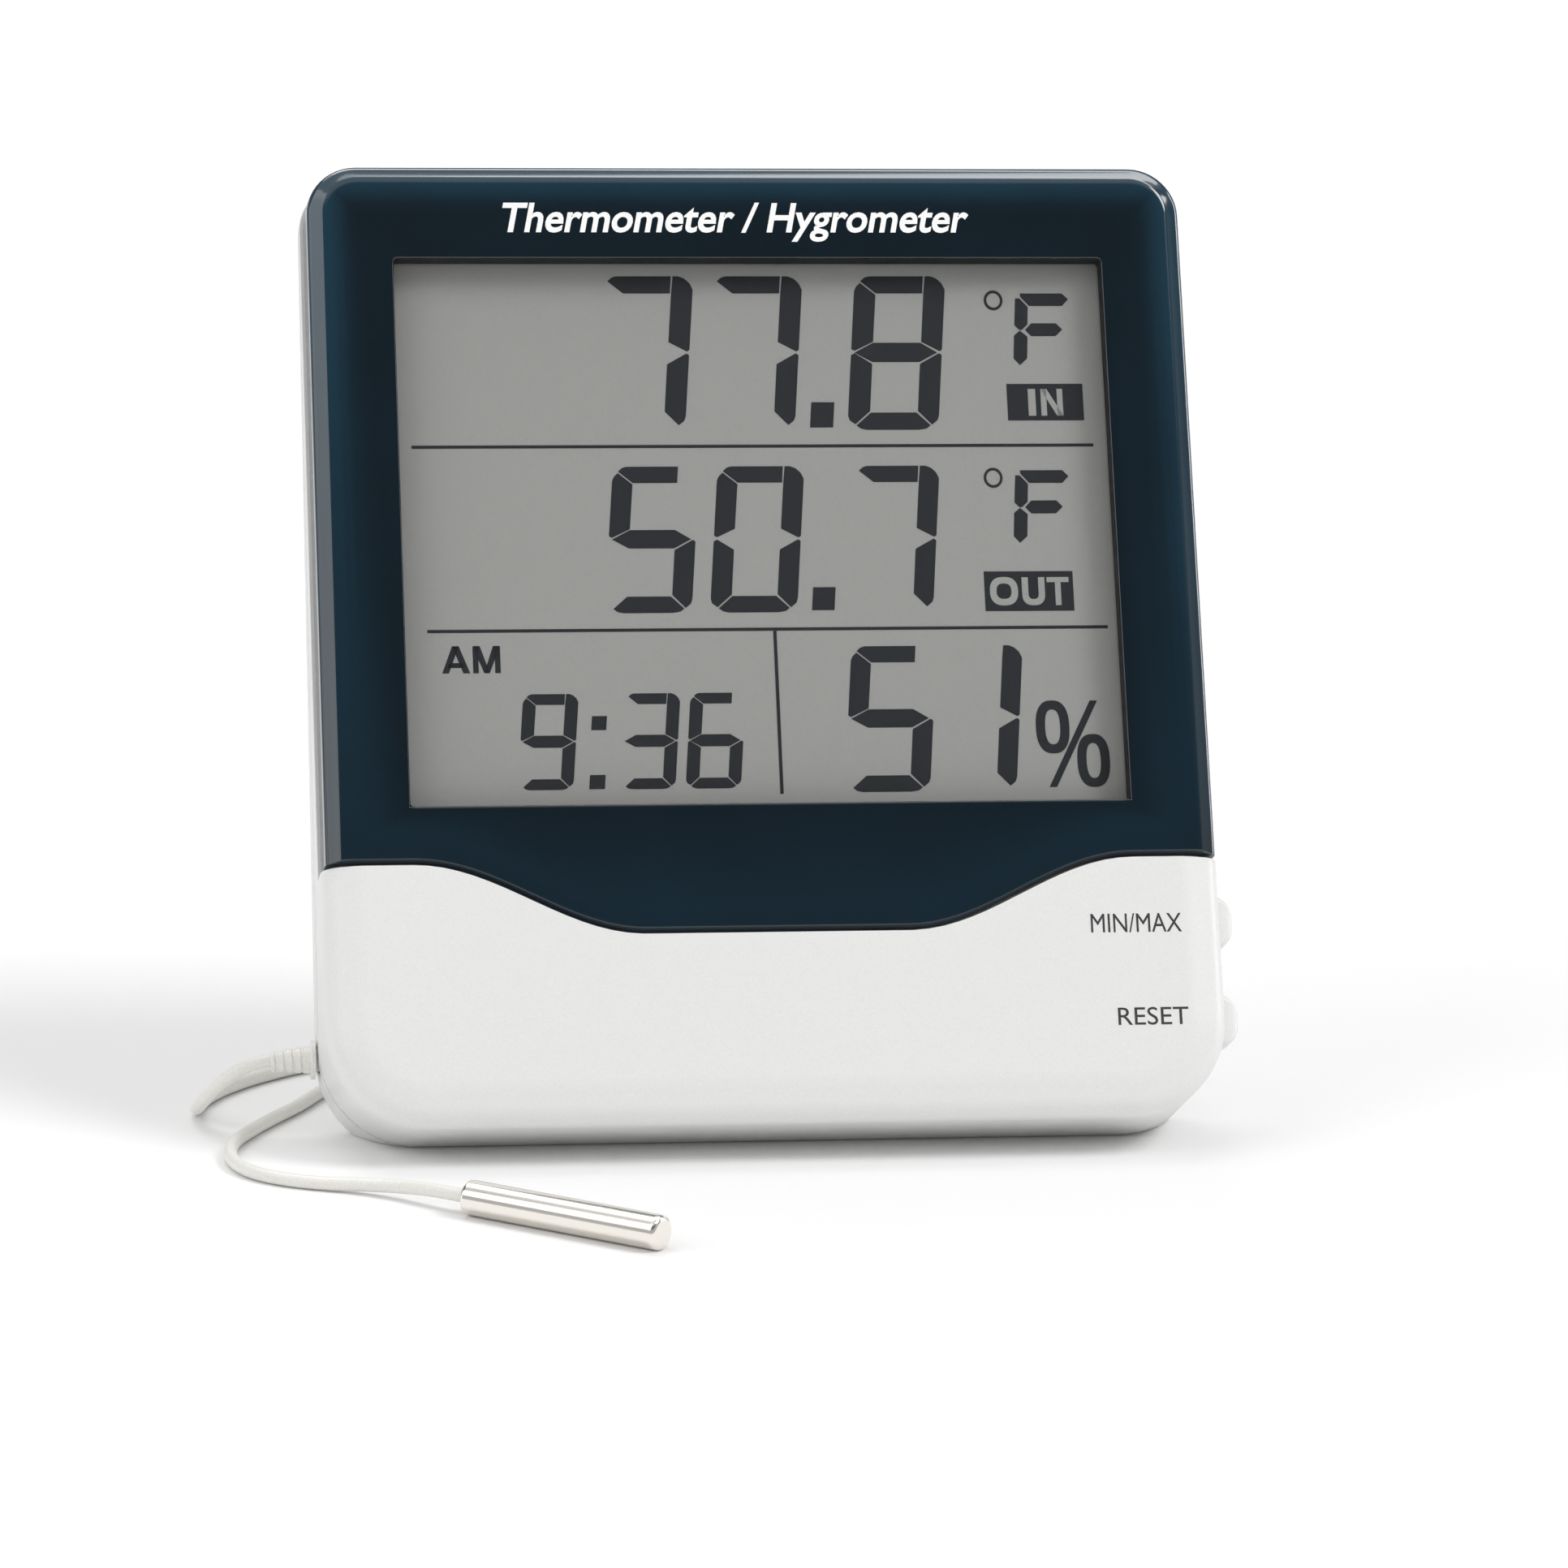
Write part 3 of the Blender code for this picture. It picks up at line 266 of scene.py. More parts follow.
MATS = {
    "white_shell": moulded("white_abs", (227, 227, 226), (232, 232, 231), 0.38),
    "bezel_gloss": bezel_material(),
    "clear_window": clear_material(),
    "lcd": moulded("lcd_glass", (165, 165, 162), (170, 170, 167), 0.34, 5000, 0.001),
    "lcd_dark": moulded("lcd_segments", (30, 33, 38), (36, 39, 44), 0.34, 5000, 0.001),
    "title": moulded("title_ink", (246, 246, 245), (252, 252, 251), 0.5, 4000, 0.002),
    "legend": moulded("legend_ink", (36, 36, 36), (60, 60, 60), 0.55, 4000, 0.002),
    # painted shade: matte black for the lining of the window's inner wall
    "painted_shade": moulded("painted_shade_black", (8, 8, 8), (16, 16, 16), 0.8, 1500, 0.004),
    "inner_plastic": moulded("inner_plastic", (206, 206, 200), (216, 216, 210), 0.5),
    "board": board_material(),
    "contact_rubber": moulded("contact_rubber", (150, 120, 134), (176, 142, 158), 0.7),
    "epoxy": moulded("epoxy_black", (18, 18, 18), (30, 30, 30), 0.35, 1200, 0.01),
    "switch": moulded("switch_black", (26, 26, 26), (36, 36, 36), 0.45),
    "nickel": metal("bright_nickel", (0.885, 0.845, 0.79, 1), 0.15, (1, 1, 0.05), 1200, 0.0015),
    "screw_steel": metal("zinc_steel", (0.62, 0.62, 0.61, 1), 0.32, height=0.004),
    "cell": cell_material(),
    "red_wire": moulded("red_wire", (160, 24, 20), (184, 32, 26), 0.4, 1500),
    "black_wire": moulded("black_wire", (20, 20, 20), (32, 32, 32), 0.4, 1500),
    "cable_white": moulded("cable_vinyl", (228, 226, 220), (238, 236, 231), 0.36, 900, 0.01),
    "tie_white": moulded("tie_vinyl", (226, 226, 222), (236, 236, 232), 0.42, 900, 0.01),
}


# ---- shapes ----

def eased(t):
    t = min(max(t, 0.0), 1.0)
    return t * t * (3 - 2 * t)


def linked(name, data):
    obj = bpy.data.objects.new(name, data)
    SHOWN.link(obj)
    return obj


def from_bmesh(name, bm):
    mesh = bpy.data.meshes.new(name)
    bm.to_mesh(mesh)
    bm.free()
    return bpy.data.objects.new(name, mesh)


def loft(name, rings, cap=True, cyclic=False):
    """A body through rings of points in mm, each with the same count."""
    bm = bmesh.new()
    rows = [[bm.verts.new(Vector(p) * MM) for p in ring] for ring in rings]
    pairs = list(zip(rows, rows[1:])) + ([(rows[-1], rows[0])] if cyclic else [])
    count = len(rows[0])
    for low, high in pairs:
        for i in range(count):
            j = (i + 1) % count
            bm.faces.new((low[i], low[j], high[j], high[i]))
    if cap and not cyclic:
        bm.faces.new(rows[0][::-1])
        bm.faces.new(rows[-1])
    bmesh.ops.remove_doubles(bm, verts=bm.verts, dist=1e-7)
    bmesh.ops.recalc_face_normals(bm, faces=bm.faces)
    return from_bmesh(name, bm)


def quarter(x, z, radius, start, steps):
    """A quarter of a circle about a point, anticlockwise from an angle in degrees."""
    angles = [radians(start + 90 * i / steps) for i in range(steps + 1)]
    return [(x + radius * cos(a), z + radius * sin(a)) for a in angles]


def rounded(half_width, bottom, top, low_corner, high_corner, steps=12):
    """A rounded rectangle in X and Z, anticlockwise from the bottom right."""
    low_x, high_x = half_width - low_corner, half_width - high_corner
    low_z, high_z = bottom + low_corner, top - high_corner
    right = quarter(low_x, low_z, low_corner, -90, steps) + quarter(high_x, high_z, high_corner, 0, steps)
    left = quarter(-high_x, high_z, high_corner, 90, steps) + quarter(-low_x, low_z, low_corner, 180, steps)
    return right + left


def at_depth(outline, depth):
    """Ring of an outline at a depth, which may be a function of the height."""
    return [(x, depth(z) if callable(depth) else depth, z) for x, z in outline]


def prism(name, outline, front, back, soft=0.0, steps=3):
    """A plate between two depths with its rims rounded; its outline is convex when soft is set."""
    if not soft:
        return loft(name, [at_depth(outline, front), at_depth(outline, back)])
    front_rings, back_rings = [], []
    for i in range(steps + 1):
        angle = pi / 2 * i / steps
        rim, drop = inset(outline, soft * (1 - sin(angle))), soft * (1 - cos(angle))
        front_rings.append(at_depth(rim, front + drop))
        back_rings.append(at_depth(rim, back - drop))
    return loft(name, front_rings + back_rings[::-1])


def inset(outline, distance):
    """An outline moved inwards, by the mean normal at each point."""
    if distance == 0:
        return list(outline)
    moved, count = [], len(outline)
    for i, (x, z) in enumerate(outline):
        before, after = Vector(outline[i - 1]), Vector(outline[(i + 1) % count])
        here = Vector((x, z))
        a = (here - before).normalized() if (here - before).length > 1e-9 else (after - here).normalized()
        b = (after - here).normalized() if (after - here).length > 1e-9 else a
        normal = Vector((-a.y - b.y, a.x + b.x)).normalized()
        share = max(normal.dot(Vector((-a.y, a.x))), 0.3)
        moved.append(tuple(here + normal * (distance / share)))
    return moved


def cylinder(name, radius, start, end, segments=48):
    """A cylinder from one point to another, in mm."""
    start, end = Vector(start) * MM, Vector(end) * MM
    along = end - start
    bm = bmesh.new()
    bmesh.ops.create_cone(bm, cap_ends=True, segments=segments, radius1=radius * MM, radius2=radius * MM,
                          depth=along.length)
    facing = along.to_track_quat("Z", "Y").to_matrix().to_4x4()
    bmesh.ops.transform(bm, matrix=Matrix.Translation((start + end) / 2) @ facing, verts=bm.verts)
    return from_bmesh(name, bm)


def box(name, low, high):
    (x0, y0, z0), (x1, y1, z1) = low, high
    return prism(name, [(x0, z0), (x1, z0), (x1, z1), (x0, z1)], y0, y1)


def turned(name, profile, steps=48):
    """A body turned round Z from (radius, height) points in mm, listed from the top down."""
    rings = []
    for r, h in profile:
        r = max(r, 1e-4)
        rings.append([(r * cos(2 * pi * i / steps), r * sin(2 * pi * i / steps), h) for i in range(steps)])
    return loft(name, rings)


def tube(name, path, radii, sides=20):
    """A round bar along points in mm, with a radius at each."""
    points = [Vector(p) for p in path]
    rings, side = [], None
    for i, point in enumerate(points):
        along = (points[min(i + 1, len(points) - 1)] - points[max(i - 1, 0)]).normalized()
        guess = side if side else (Vector((0, 0, 1)) if abs(along.z) < 0.9 else Vector((1, 0, 0)))
        side = (guess - along * guess.dot(along)).normalized()
        other = along.cross(side)
        rings.append([point + (side * cos(2 * pi * k / sides) + other * sin(2 * pi * k / sides)) * radii[i]
                      for k in range(sides)])
    return loft(name, rings)


def baked(obj):
    """The object's evaluated mesh as a plain mesh object of the same name."""
    if obj.name not in SHOWN:
        SHOWN.link(obj)
    bpy.context.view_layer.update()
    graph = bpy.context.evaluated_depsgraph_get()
    mesh = bpy.data.meshes.new_from_object(obj.evaluated_get(graph), preserve_all_data_layers=True,
                                           depsgraph=graph)
    name = obj.name
    bpy.data.objects.remove(obj)
    return linked(name, mesh)


def cut(target, *tools):
    """Cuts tools out of a body."""
    SHOWN.link(target)
    for tool in tools:
        SHOWN.link(tool)
        modifier = target.modifiers.new("cut", "BOOLEAN")
        modifier.operation = "DIFFERENCE"
        modifier.solver = "EXACT"
        modifier.object = tool
    result = baked(target)
    for tool in tools:
        bpy.data.objects.remove(tool)
    SHOWN.unlink(result)
    return result


def soften(obj, width, segments=3, angle=40):
    """Rounds the edges that are sharper than an angle."""
    bevel = obj.modifiers.new("soften", "BEVEL")
    bevel.width = width * MM
    bevel.segments = segments
    bevel.limit_method = "ANGLE"
    bevel.angle_limit = radians(angle)
    bevel.harden_normals = True
    result = baked(obj)
    SHOWN.unlink(result)
    return result


def together(name, *pieces):
    """Several loose bodies as one mesh."""
    bm = bmesh.new()
    for piece in pieces:
        bm.from_mesh(piece.data)
        bpy.data.objects.remove(piece)
    return from_bmesh(name, bm)


def tilted(obj, matrix):
    """The object with its points moved by a matrix."""
    obj.data.transform(matrix)
    return obj


def evenly_shaded(obj):
    """Gives broad flat faces their own normals, so that the rounded rims of holes don't shade them."""
    weigh = obj.modifiers.new("weigh", "WEIGHTED_NORMAL")
    weigh.keep_sharp = True
    weigh.weight = 100
    obj = baked(obj)
    mesh = obj.data
    normals = [corner.vector.copy() for corner in mesh.corner_normals]
    edges = {edge.key: edge for edge in mesh.edges}
    for face in mesh.polygons:
        rim = sum((mesh.vertices[a].co - mesh.vertices[b].co).length for a, b in face.edge_keys)
        if face.area > 0.9 * MM * rim:
            for i in face.loop_indices:
                normals[i] = face.normal.copy()
            for key in face.edge_keys:
                edges[key].use_edge_sharp = True
    mesh.normals_split_custom_set(normals)
    return obj


def put(obj, place, mat, nodes=(), body="root", sharp=32, own_axes=False):
    """Shows a piece: where it is, its material, the CAD nodes it stands for and what it rides on.

    A piece whose finish follows its own axes keeps them; the others are put in place by their points."""
    if obj.name not in SHOWN:
        SHOWN.link(obj)
    if obj.type == "MESH":
        obj.data.shade_smooth()
        obj.data.set_sharp_from_angle(angle=radians(sharp))
    obj.data.materials.clear()
    obj.data.materials.append(MATS[mat])
    if mat == "white_shell":
        obj = evenly_shaded(obj)
    if own_axes:
        obj.matrix_world = place
    else:
        obj.data.transform(place)
    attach(obj, body)
    if nodes:
        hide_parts(*nodes)
    return obj


def lettering(name, text, across, up, depth, mat, place=DEVICE, lean=0.0, weight=0.0, back=False):
    """Raised print that fills a span across and a span up a face."""
    font = bpy.data.curves.new(name, "FONT")
    font.body = text
    font.offset = weight
    font.extrude = 0.01
    font.resolution_u = 4
    obj = baked(bpy.data.objects.new(name, font))
    corners = [v.co.copy() for v in obj.data.vertices]
    low = [min(c[i] for c in corners) for i in (0, 1)]
    high = [max(c[i] for c in corners) for i in (0, 1)]
    outwards = -1 if back else 1
    for vertex in obj.data.vertices:
        x, z, side = vertex.co
        u = (x - low[0]) / (high[0] - low[0])
        v = (z - low[1]) / (high[1] - low[1])
        z = up[0] + v * (up[1] - up[0])
        x = across[0] + u * (across[1] - across[0]) + lean * (v - 0.5) * (up[1] - up[0])
        sunk = 1.5 * INK if side < 0 else 0.0
        vertex.co = Vector((outwards * x, depth + outwards * sunk, z)) * MM
    bm = bmesh.new()
    bm.from_mesh(obj.data)
    bmesh.ops.remove_doubles(bm, verts=bm.verts, dist=1e-7)
    bmesh.ops.recalc_face_normals(bm, faces=bm.faces)
    bm.to_mesh(obj.data)
    bm.free()
    return put(obj, place, mat)


# ---- case ----

def rear(z):
    return DEPTH_BOTTOM + (DEPTH_TOP - DEPTH_BOTTOM) * z / HEIGHT


def parting(z):
    return PARTING_BOTTOM + (PARTING_TOP - PARTING_BOTTOM) * z / HEIGHT


def chin_share(x):
    """How far x is along the rise of the chin's edge, from 0 to 1."""
    return min(max((abs(x) - CHIN_INNER) / (CHIN_OUTER - CHIN_INNER), 0.0), 1.0)


def chin_edge(x):
    """Height of the S-shaped edge between chin and bezel."""
    return CHIN_LOW + CHIN_RISE * (1 - cos(pi * chin_share(x))) / 2


def chin_slope(x):
    return CHIN_RISE / 2 * pi * sin(pi * chin_share(x)) / (CHIN_OUTER - CHIN_INNER)


def case_ring(d):
    """The case's outline, moved inwards by d."""
    return rounded(HALF_WIDTH - d, d, HEIGHT - d, 11.0 - d, max(6.0 - d, 0.3))


def stations(half):
    """Places across a width, from left to right, one for each point of a bezel outline's lower side."""
    return [half * (2 * i / STATIONS - 1) for i in range(STATIONS + 1)]


def top_corners(half, top, corner, steps=12):
    """The two rounded upper corners of an outline, from right to left."""
    x, z = half - corner, top - corner
    return quarter(x, z, corner, 0, steps) + quarter(-x, z, corner, 90, steps)


def above_chin(half, top, corner, lift):
    """Outline of what lies above the chin's edge, from its left end along the edge and round the top."""
    edge = [(x, chin_edge(x) + lift * sqrt(1 + chin_slope(x) ** 2)) for x in stations(half)]
    return edge + top_corners(half, top, max(corner, 0.3))


def window_ring(grow):
    """The window's edge, with its points matched to above_chin's."""
    half, bottom, top = WINDOW
    lower = [(x, bottom - grow) for x in stations(half + grow)]
    return lower + top_corners(half + grow, top + grow, 0.5 + grow)


def below_facet(name, lift=0.0):
    """The half space under the table plane, in the device's frame."""
    block = prism(name, [(-90, -60), (90, -60), (90, lift), (-90, lift)], -90, 90)
    return tilted(block, shift(0, CONTACT_DEPTH, 0) @ turn(LEAN))


def rear_piece(obj):
    """Moves a shape from the rear frame into the device's frame."""
    return tilted(obj, TO_REAR)


def front_housing():
    """A hollow shell with a rolled front edge, stepped back above the chin for the bezel."""
    profile = [(9.8, 0.0), (4.75, 0.0), (4.6, 0.0), (4.2, 0.03), (3.8, 0.09), (3.3, 0.21), (1.95, 0.63),
               (1.5, 0.82), (1.08, 1.1), (0.7, 1.46), (0.4, 1.9), (0.18, 2.4), (0.05, 2.9), (0.0, 3.4),
               (0.0, 3.55)]
    rings = [at_depth(case_ring(d), y) for d, y in profile]
    body = loft("front_shell", rings + [at_depth(case_ring(0), lambda z: parting(z) - GAP / 2)])
    step = prism("step", above_chin(60, 120, 1, 0.0), -10, BEZEL_DEPTH + GAP)
    core = prism("core", rounded(47.8, 5, 107.5, 1, 4.2), BEZEL_FRONT + GAP, 20)
    step = cut(step, core)
    cavity = prism("cavity", rounded(46.0, 2.0, 105.7, 9, 2.6), 4.0, 30)
    opening = prism("opening", rounded(43, 32, 101, 0.2, 0.2, 2), -10, 10)
    holes = [key_hole(height) for height in SIDE_KEYS.values()]
    body = cut(body, step, cavity, opening, *holes)
    put(soften(body, 0.22), DEVICE, "white_shell", ["front_housing"])


def key_hole(height):
    outline = rounded(2.3, height - 3.3, height + 3.3, 0.9, 0.9, 5)
    return loft("key_hole", [[(x, KEY_DEPTH + y, z) for y, z in outline] for x in (44.0, 55.0)])


def bezel_ring(outline, depth):
    """An outline at a depth. Its lower side goes no deeper than the front plate, and each end of that
    side has a second point just above it, for the rim."""
    lower, upper = outline[:STATIONS + 1], outline[STATIONS + 1:]
    left, right = [(x, depth, z + 0.04) for x, z in (lower[0], lower[-1])]
    return at_depth(lower, min(depth, BEZEL_FRONT)) + [right] + at_depth(upper, depth) + [left]


def bezel():
    """One closed skin: rim, faceted shoulder, face, window edge and the back of the front plate."""
    radius = 0.9
    arc = [(radius * (1 - cos(radians(a))), 1.5 - radius * sin(radians(a))) for a in range(0, 61, 12)]
    rim_side = [(1.4, BEZEL_DEPTH), (0.2, BEZEL_DEPTH), (0.05, BEZEL_DEPTH - 0.06), (0.0, BEZEL_DEPTH - 0.2),
                (0.0, 1.7)]
    shoulder = arc + [(0.58, 0.665), (1.32, 0.27), (1.46, 0.185), (1.6, 0.11), (1.78, 0.045), (1.98, 0.01),
                      (2.2, 0.0), (2.3, 0.0), (3.4, 0.0), (4.5, 0.0), (5.6, 0.0)]
    window_edge = [(0.5, 0.0), (0.4, 0.0), (0.15, 0.0), (0.08, 0.02), (0.02, 0.08), (0.0, 0.15), (0.0, 0.3),
                   (0.0, BEZEL_FRONT)]

    def outer(d):
        lift = GAP + (0.2 * d if d < 2.2 else d - 1.76)
        return above_chin(BEZEL_HALF - d, BEZEL_TOP - d, BEZEL_CORNER - d, lift)

    rings = [bezel_ring(outer(d), y) for d, y in rim_side + shoulder]
    rings += [bezel_ring(window_ring(grow), y) for grow, y in window_edge]
    rings.append(bezel_ring(outer(1.4), BEZEL_FRONT))
    body = loft("bezel_shell", rings, cyclic=True)
    # painted light: the rim attribute lightens the bezel's colour towards its edge
    paint_rim_glow(body.data)
    put(body, DEVICE, "bezel_gloss", ["bezel"], sharp=38)
    # painted shade: a matte black lining on the window's inner wall, darkening that edge as shade does
    half, bottom, top = WINDOW
    rings = [at_depth(rounded(half - d, bottom + d, top - d, 0.4, 0.4, 4), y)
             for d, y in ((-0.02, 0.3), (0.02, 0.25), (0.06, 0.3), (0.06, 2.08), (-0.02, 2.08))]
    put(loft("window_painted_shade", rings, cyclic=True), DEVICE, "painted_shade")


def paint_rim_glow(mesh):
    """Painted light: an attribute that rises towards the bezel's outer edge, and less towards the chin's,
    and lightens the bezel's colour there.
    """
    rim = mesh.attributes.new("rim", "FLOAT", "POINT")
    for i, vertex in enumerate(mesh.vertices):
        x, y, z = vertex.co / MM
        above = z - chin_edge(x)
        inside = min(BEZEL_HALF - abs(x), BEZEL_TOP - z, 0.9 * (above - GAP))
        side = min(1.0, max(0.0, (above - 2.5) / 6.0))
        rim.data[i].value = eased((5.4 - inside) / 3.6) * (0.25 + 0.75 * side) if y < 1.6 else 0.2


def leg_length():
    """From the hinge down to the table, along the leg of the opened stand."""
    out, up = HINGE
    y = DEPTH_BOTTOM + out * cos(WEDGE) - up * sin(WEDGE)
    z = up * cos(WEDGE) + out * sin(WEDGE)
    height = z * cos(LEAN) - y * sin(LEAN) + CONTACT_DEPTH * sin(LEAN)
    return height / cos(STAND_ANGLE)


def channels(grow, depth):
    """Recess for the folded stand: two leg channels and one for the foot bar."""
    foot = HINGE[1] - leg_length() - 0.55
    low, high, top = 29.7 - grow, 36.4 + grow, HINGE[1] + 1.5 + grow
    bar = foot + 6.45 + grow
    outline = [(-high, foot - grow), (high, foot - grow), (high, top), (low, top), (low, bar + 1.0),
               (low - 1.0, bar), (1.0 - low, bar), (-low, bar + 1.0), (-low, top), (-high, top)]
    return rear_piece(prism("channels", outline, -depth, 20))


def rear_housing():
    """A hollow shell with the bay, the stand's channels, keyhole, key and screw holes, and vents."""
    fillet = [(1.5 * (1 - sin(radians(a))), 1.5 * (1 - cos(radians(a)))) for a in range(90, -1, -15)]
    rings = [at_depth(case_ring(0.0), lambda z: parting(z) + GAP / 2)]
    rings += [at_depth(case_ring(d), lambda z: rear(z) - h)
              for d, h in [(0.0, 1.65)] + fillet + [(1.65, 0.0), (5.0, 0.0)]]
    body = loft("rear_shell", rings)
    cavity = prism("cavity", case_ring(WALL), 0.0, lambda z: rear(z) - WALL)
    bay_wall = rear_piece(box("bay_wall", (-29, -13.5, 11.9), (29, 20, 30.1)))
    columns = [cylinder("column", 3.5, (x, -10, z), (x, 40, z)) for x, z, _ in SCREWS]
    cavity = cut(cavity, below_facet("facet_wall", WALL), channels(1.4, 4.9), bay_wall, *columns)
    tools = [cavity, below_facet("facet"), channels(0.0, 3.6),
             rear_piece(box("bay", (-BAY_HALF, -BAY_DEPTH, BAY_HEIGHT - BAY_RISE),
                            (BAY_HALF, 20, BAY_HEIGHT + BAY_RISE))),
             rear_piece(prism("rebate", door_outline(GAP, 5), -1.6, 20)),
             rear_piece(cylinder("sockets", PIN_RADIUS + GAP, (-38.8, *HINGE), (38.8, *HINGE))),
             rear_piece(cylinder("keyhole_entry", 3.6, (0, -3, KEYHOLE_ENTRY), (0, 20, KEYHOLE_ENTRY), 64)),
             rear_piece(box("keyhole_slot", (-SLOT_HALF, -3, KEYHOLE_ENTRY), (SLOT_HALF, 20, KEYHOLE_END))),
             rear_piece(cylinder("keyhole_end", SLOT_HALF, (0, -3, KEYHOLE_END), (0, 20, KEYHOLE_END))),
             cylinder("cable_hole", 1.6, (-60, EXIT.y, EXIT.z), (-40, EXIT.y, EXIT.z))]
    for x in REAR_KEYS.values():
        hole = cylinder("key_hole", 3.2, (x, -10, REAR_KEY_HEIGHT), (x, 10, REAR_KEY_HEIGHT), 64)
        tools.append(rear_piece(hole))
    for x, z, sink in SCREWS:
        tools.append(cylinder("screw_hole", 1.3, (x, -10, z), (x, 40, z)))
        tools.append(cylinder("screw_seat", 2.2, (x, rear(z) - sink - GAP, z), (x, 40, z)))
    for i in range(4):
        up = 38.6 + 4.0 * i
        outline = [(x - 43.25, z) for x, z in rounded(2.75, up - 0.6, up + 0.6, 0.58, 0.58, 5)]
        tools.append(rear_piece(prism("vent", outline, -4, 20)))
    body = cut(body, *tools)
    put(soften(body, 0.18, 2), DEVICE, "white_shell", ["rear_housing"])


# ---- display ----

SEGMENTS = {
    "a": [(0.149, 1), (0.1, 0.99), (0.061, 0.967), (0.24, 0.888), (0.752, 0.888), (0.752, 1)],
    "b": [(0.771, 1), (0.834, 1), (0.9, 0.985), (0.96, 0.955), (1, 0.913), (1, 0.521), (0.974, 0.51),
          (0.766, 0.572), (0.766, 0.9)],
    "c": [(0.968, 0.498), (1, 0.486), (1, 0.093), (0.985, 0.062), (0.928, 0.033), (0.766, 0.122),
          (0.764, 0.428)],
    "d": [(0.098, 0.029), (0.15, 0.008), (0.219, 0), (0.79, 0), (0.87, 0.008), (0.913, 0.029),
          (0.749, 0.112), (0.248, 0.112)],
    "e": [(0.039, 0.498), (0, 0.486), (0, 0.093), (0.02, 0.062), (0.086, 0.037), (0.24, 0.122),
          (0.238, 0.428)],
    "f": [(0.059, 0.957), (0.018, 0.932), (0, 0.903), (0, 0.525), (0.037, 0.514), (0.236, 0.572),
          (0.238, 0.878)],
    "g": [(0.037, 0.502), (0.236, 0.566), (0.756, 0.566), (0.949, 0.502), (0.759, 0.44), (0.24, 0.44)],
}
DIGITS = {"0": "abcdef", "1": "bc", "3": "abcdg", "5": "acdfg", "6": "acdefg", "7": "abc", "8": "abcdefg",
          "9": "abcdfg"}
LETTER_F = [
    [(0.08, 0.93), (0.155, 0.93), (0.293, 0.811), (0.271, 0.566), (0.17, 0.491), (0.122, 0.491),
     (0.043, 0.557)],
    [(0.165, 1), (0.894, 1), (1, 0.917), (0.888, 0.825), (0.314, 0.825), (0.17, 0.952)],
    [(0.223, 0.491), (0.335, 0.583), (0.766, 0.583), (0.872, 0.496), (0.75, 0.404), (0.324, 0.404)],
    [(0.027, 0.412), (0.133, 0.482), (0.261, 0.395), (0.234, 0.092), (0.106, 0), (0, 0.092)]]
SLANT = 0.092
LETTERS = {
    "A": [[(0, 0), (0.24, 0), (0.62, 1), (0.38, 1)], [(0.76, 0), (1, 0), (0.62, 1), (0.38, 1)],
          [(0.2, 0.2), (0.8, 0.2), (0.73, 0.38), (0.27, 0.38)]],
    "M": [[(0, 0), (0.2, 0), (0.2, 1), (0, 1)], [(0.8, 0), (1, 0), (1, 1), (0.8, 1)],
          [(0, 1), (0.26, 1), (0.6, 0), (0.4, 0)], [(1, 1), (0.74, 1), (0.4, 0), (0.6, 0)]],
    "I": [[(0, 0), (1, 0), (1, 1), (0, 1)]],
    "N": [[(0, 0), (0.26, 0), (0.26, 1), (0, 1)], [(0.74, 0), (1, 0), (1, 1), (0.74, 1)],
          [(0, 1), (0.28, 1), (1, 0), (0.72, 0)]],
    "T": [[(0, 0.82), (1, 0.82), (1, 1), (0, 1)], [(0.37, 0), (0.63, 0), (0.63, 0.85), (0.37, 0.85)]],
}


def letter(name, x0, x1, z0, z1):
    return [[(x0 + u * (x1 - x0), z0 + v * (z1 - z0)) for u, v in shape] for shape in LETTERS[name]]


def oval(x, z, half_width, half_height, stroke, start=0, end=360, steps=36):
    """A ring, or a part of one, as four-sided pieces."""
    def at(angle, shrink):
        c, t = cos(radians(angle)), sin(radians(angle))
        squared = 0.8
        return (x + (half_width - shrink) * abs(c) ** squared * (1 if c > 0 else -1),
                z + (half_height - shrink) * abs(t) ** squared * (1 if t > 0 else -1))
    angles = [start + (end - start) * i / steps for i in range(steps + 1)]
    return [[at(a, 0), at(b, 0), at(b, stroke), at(a, stroke)] for a, b in zip(angles, angles[1:])]


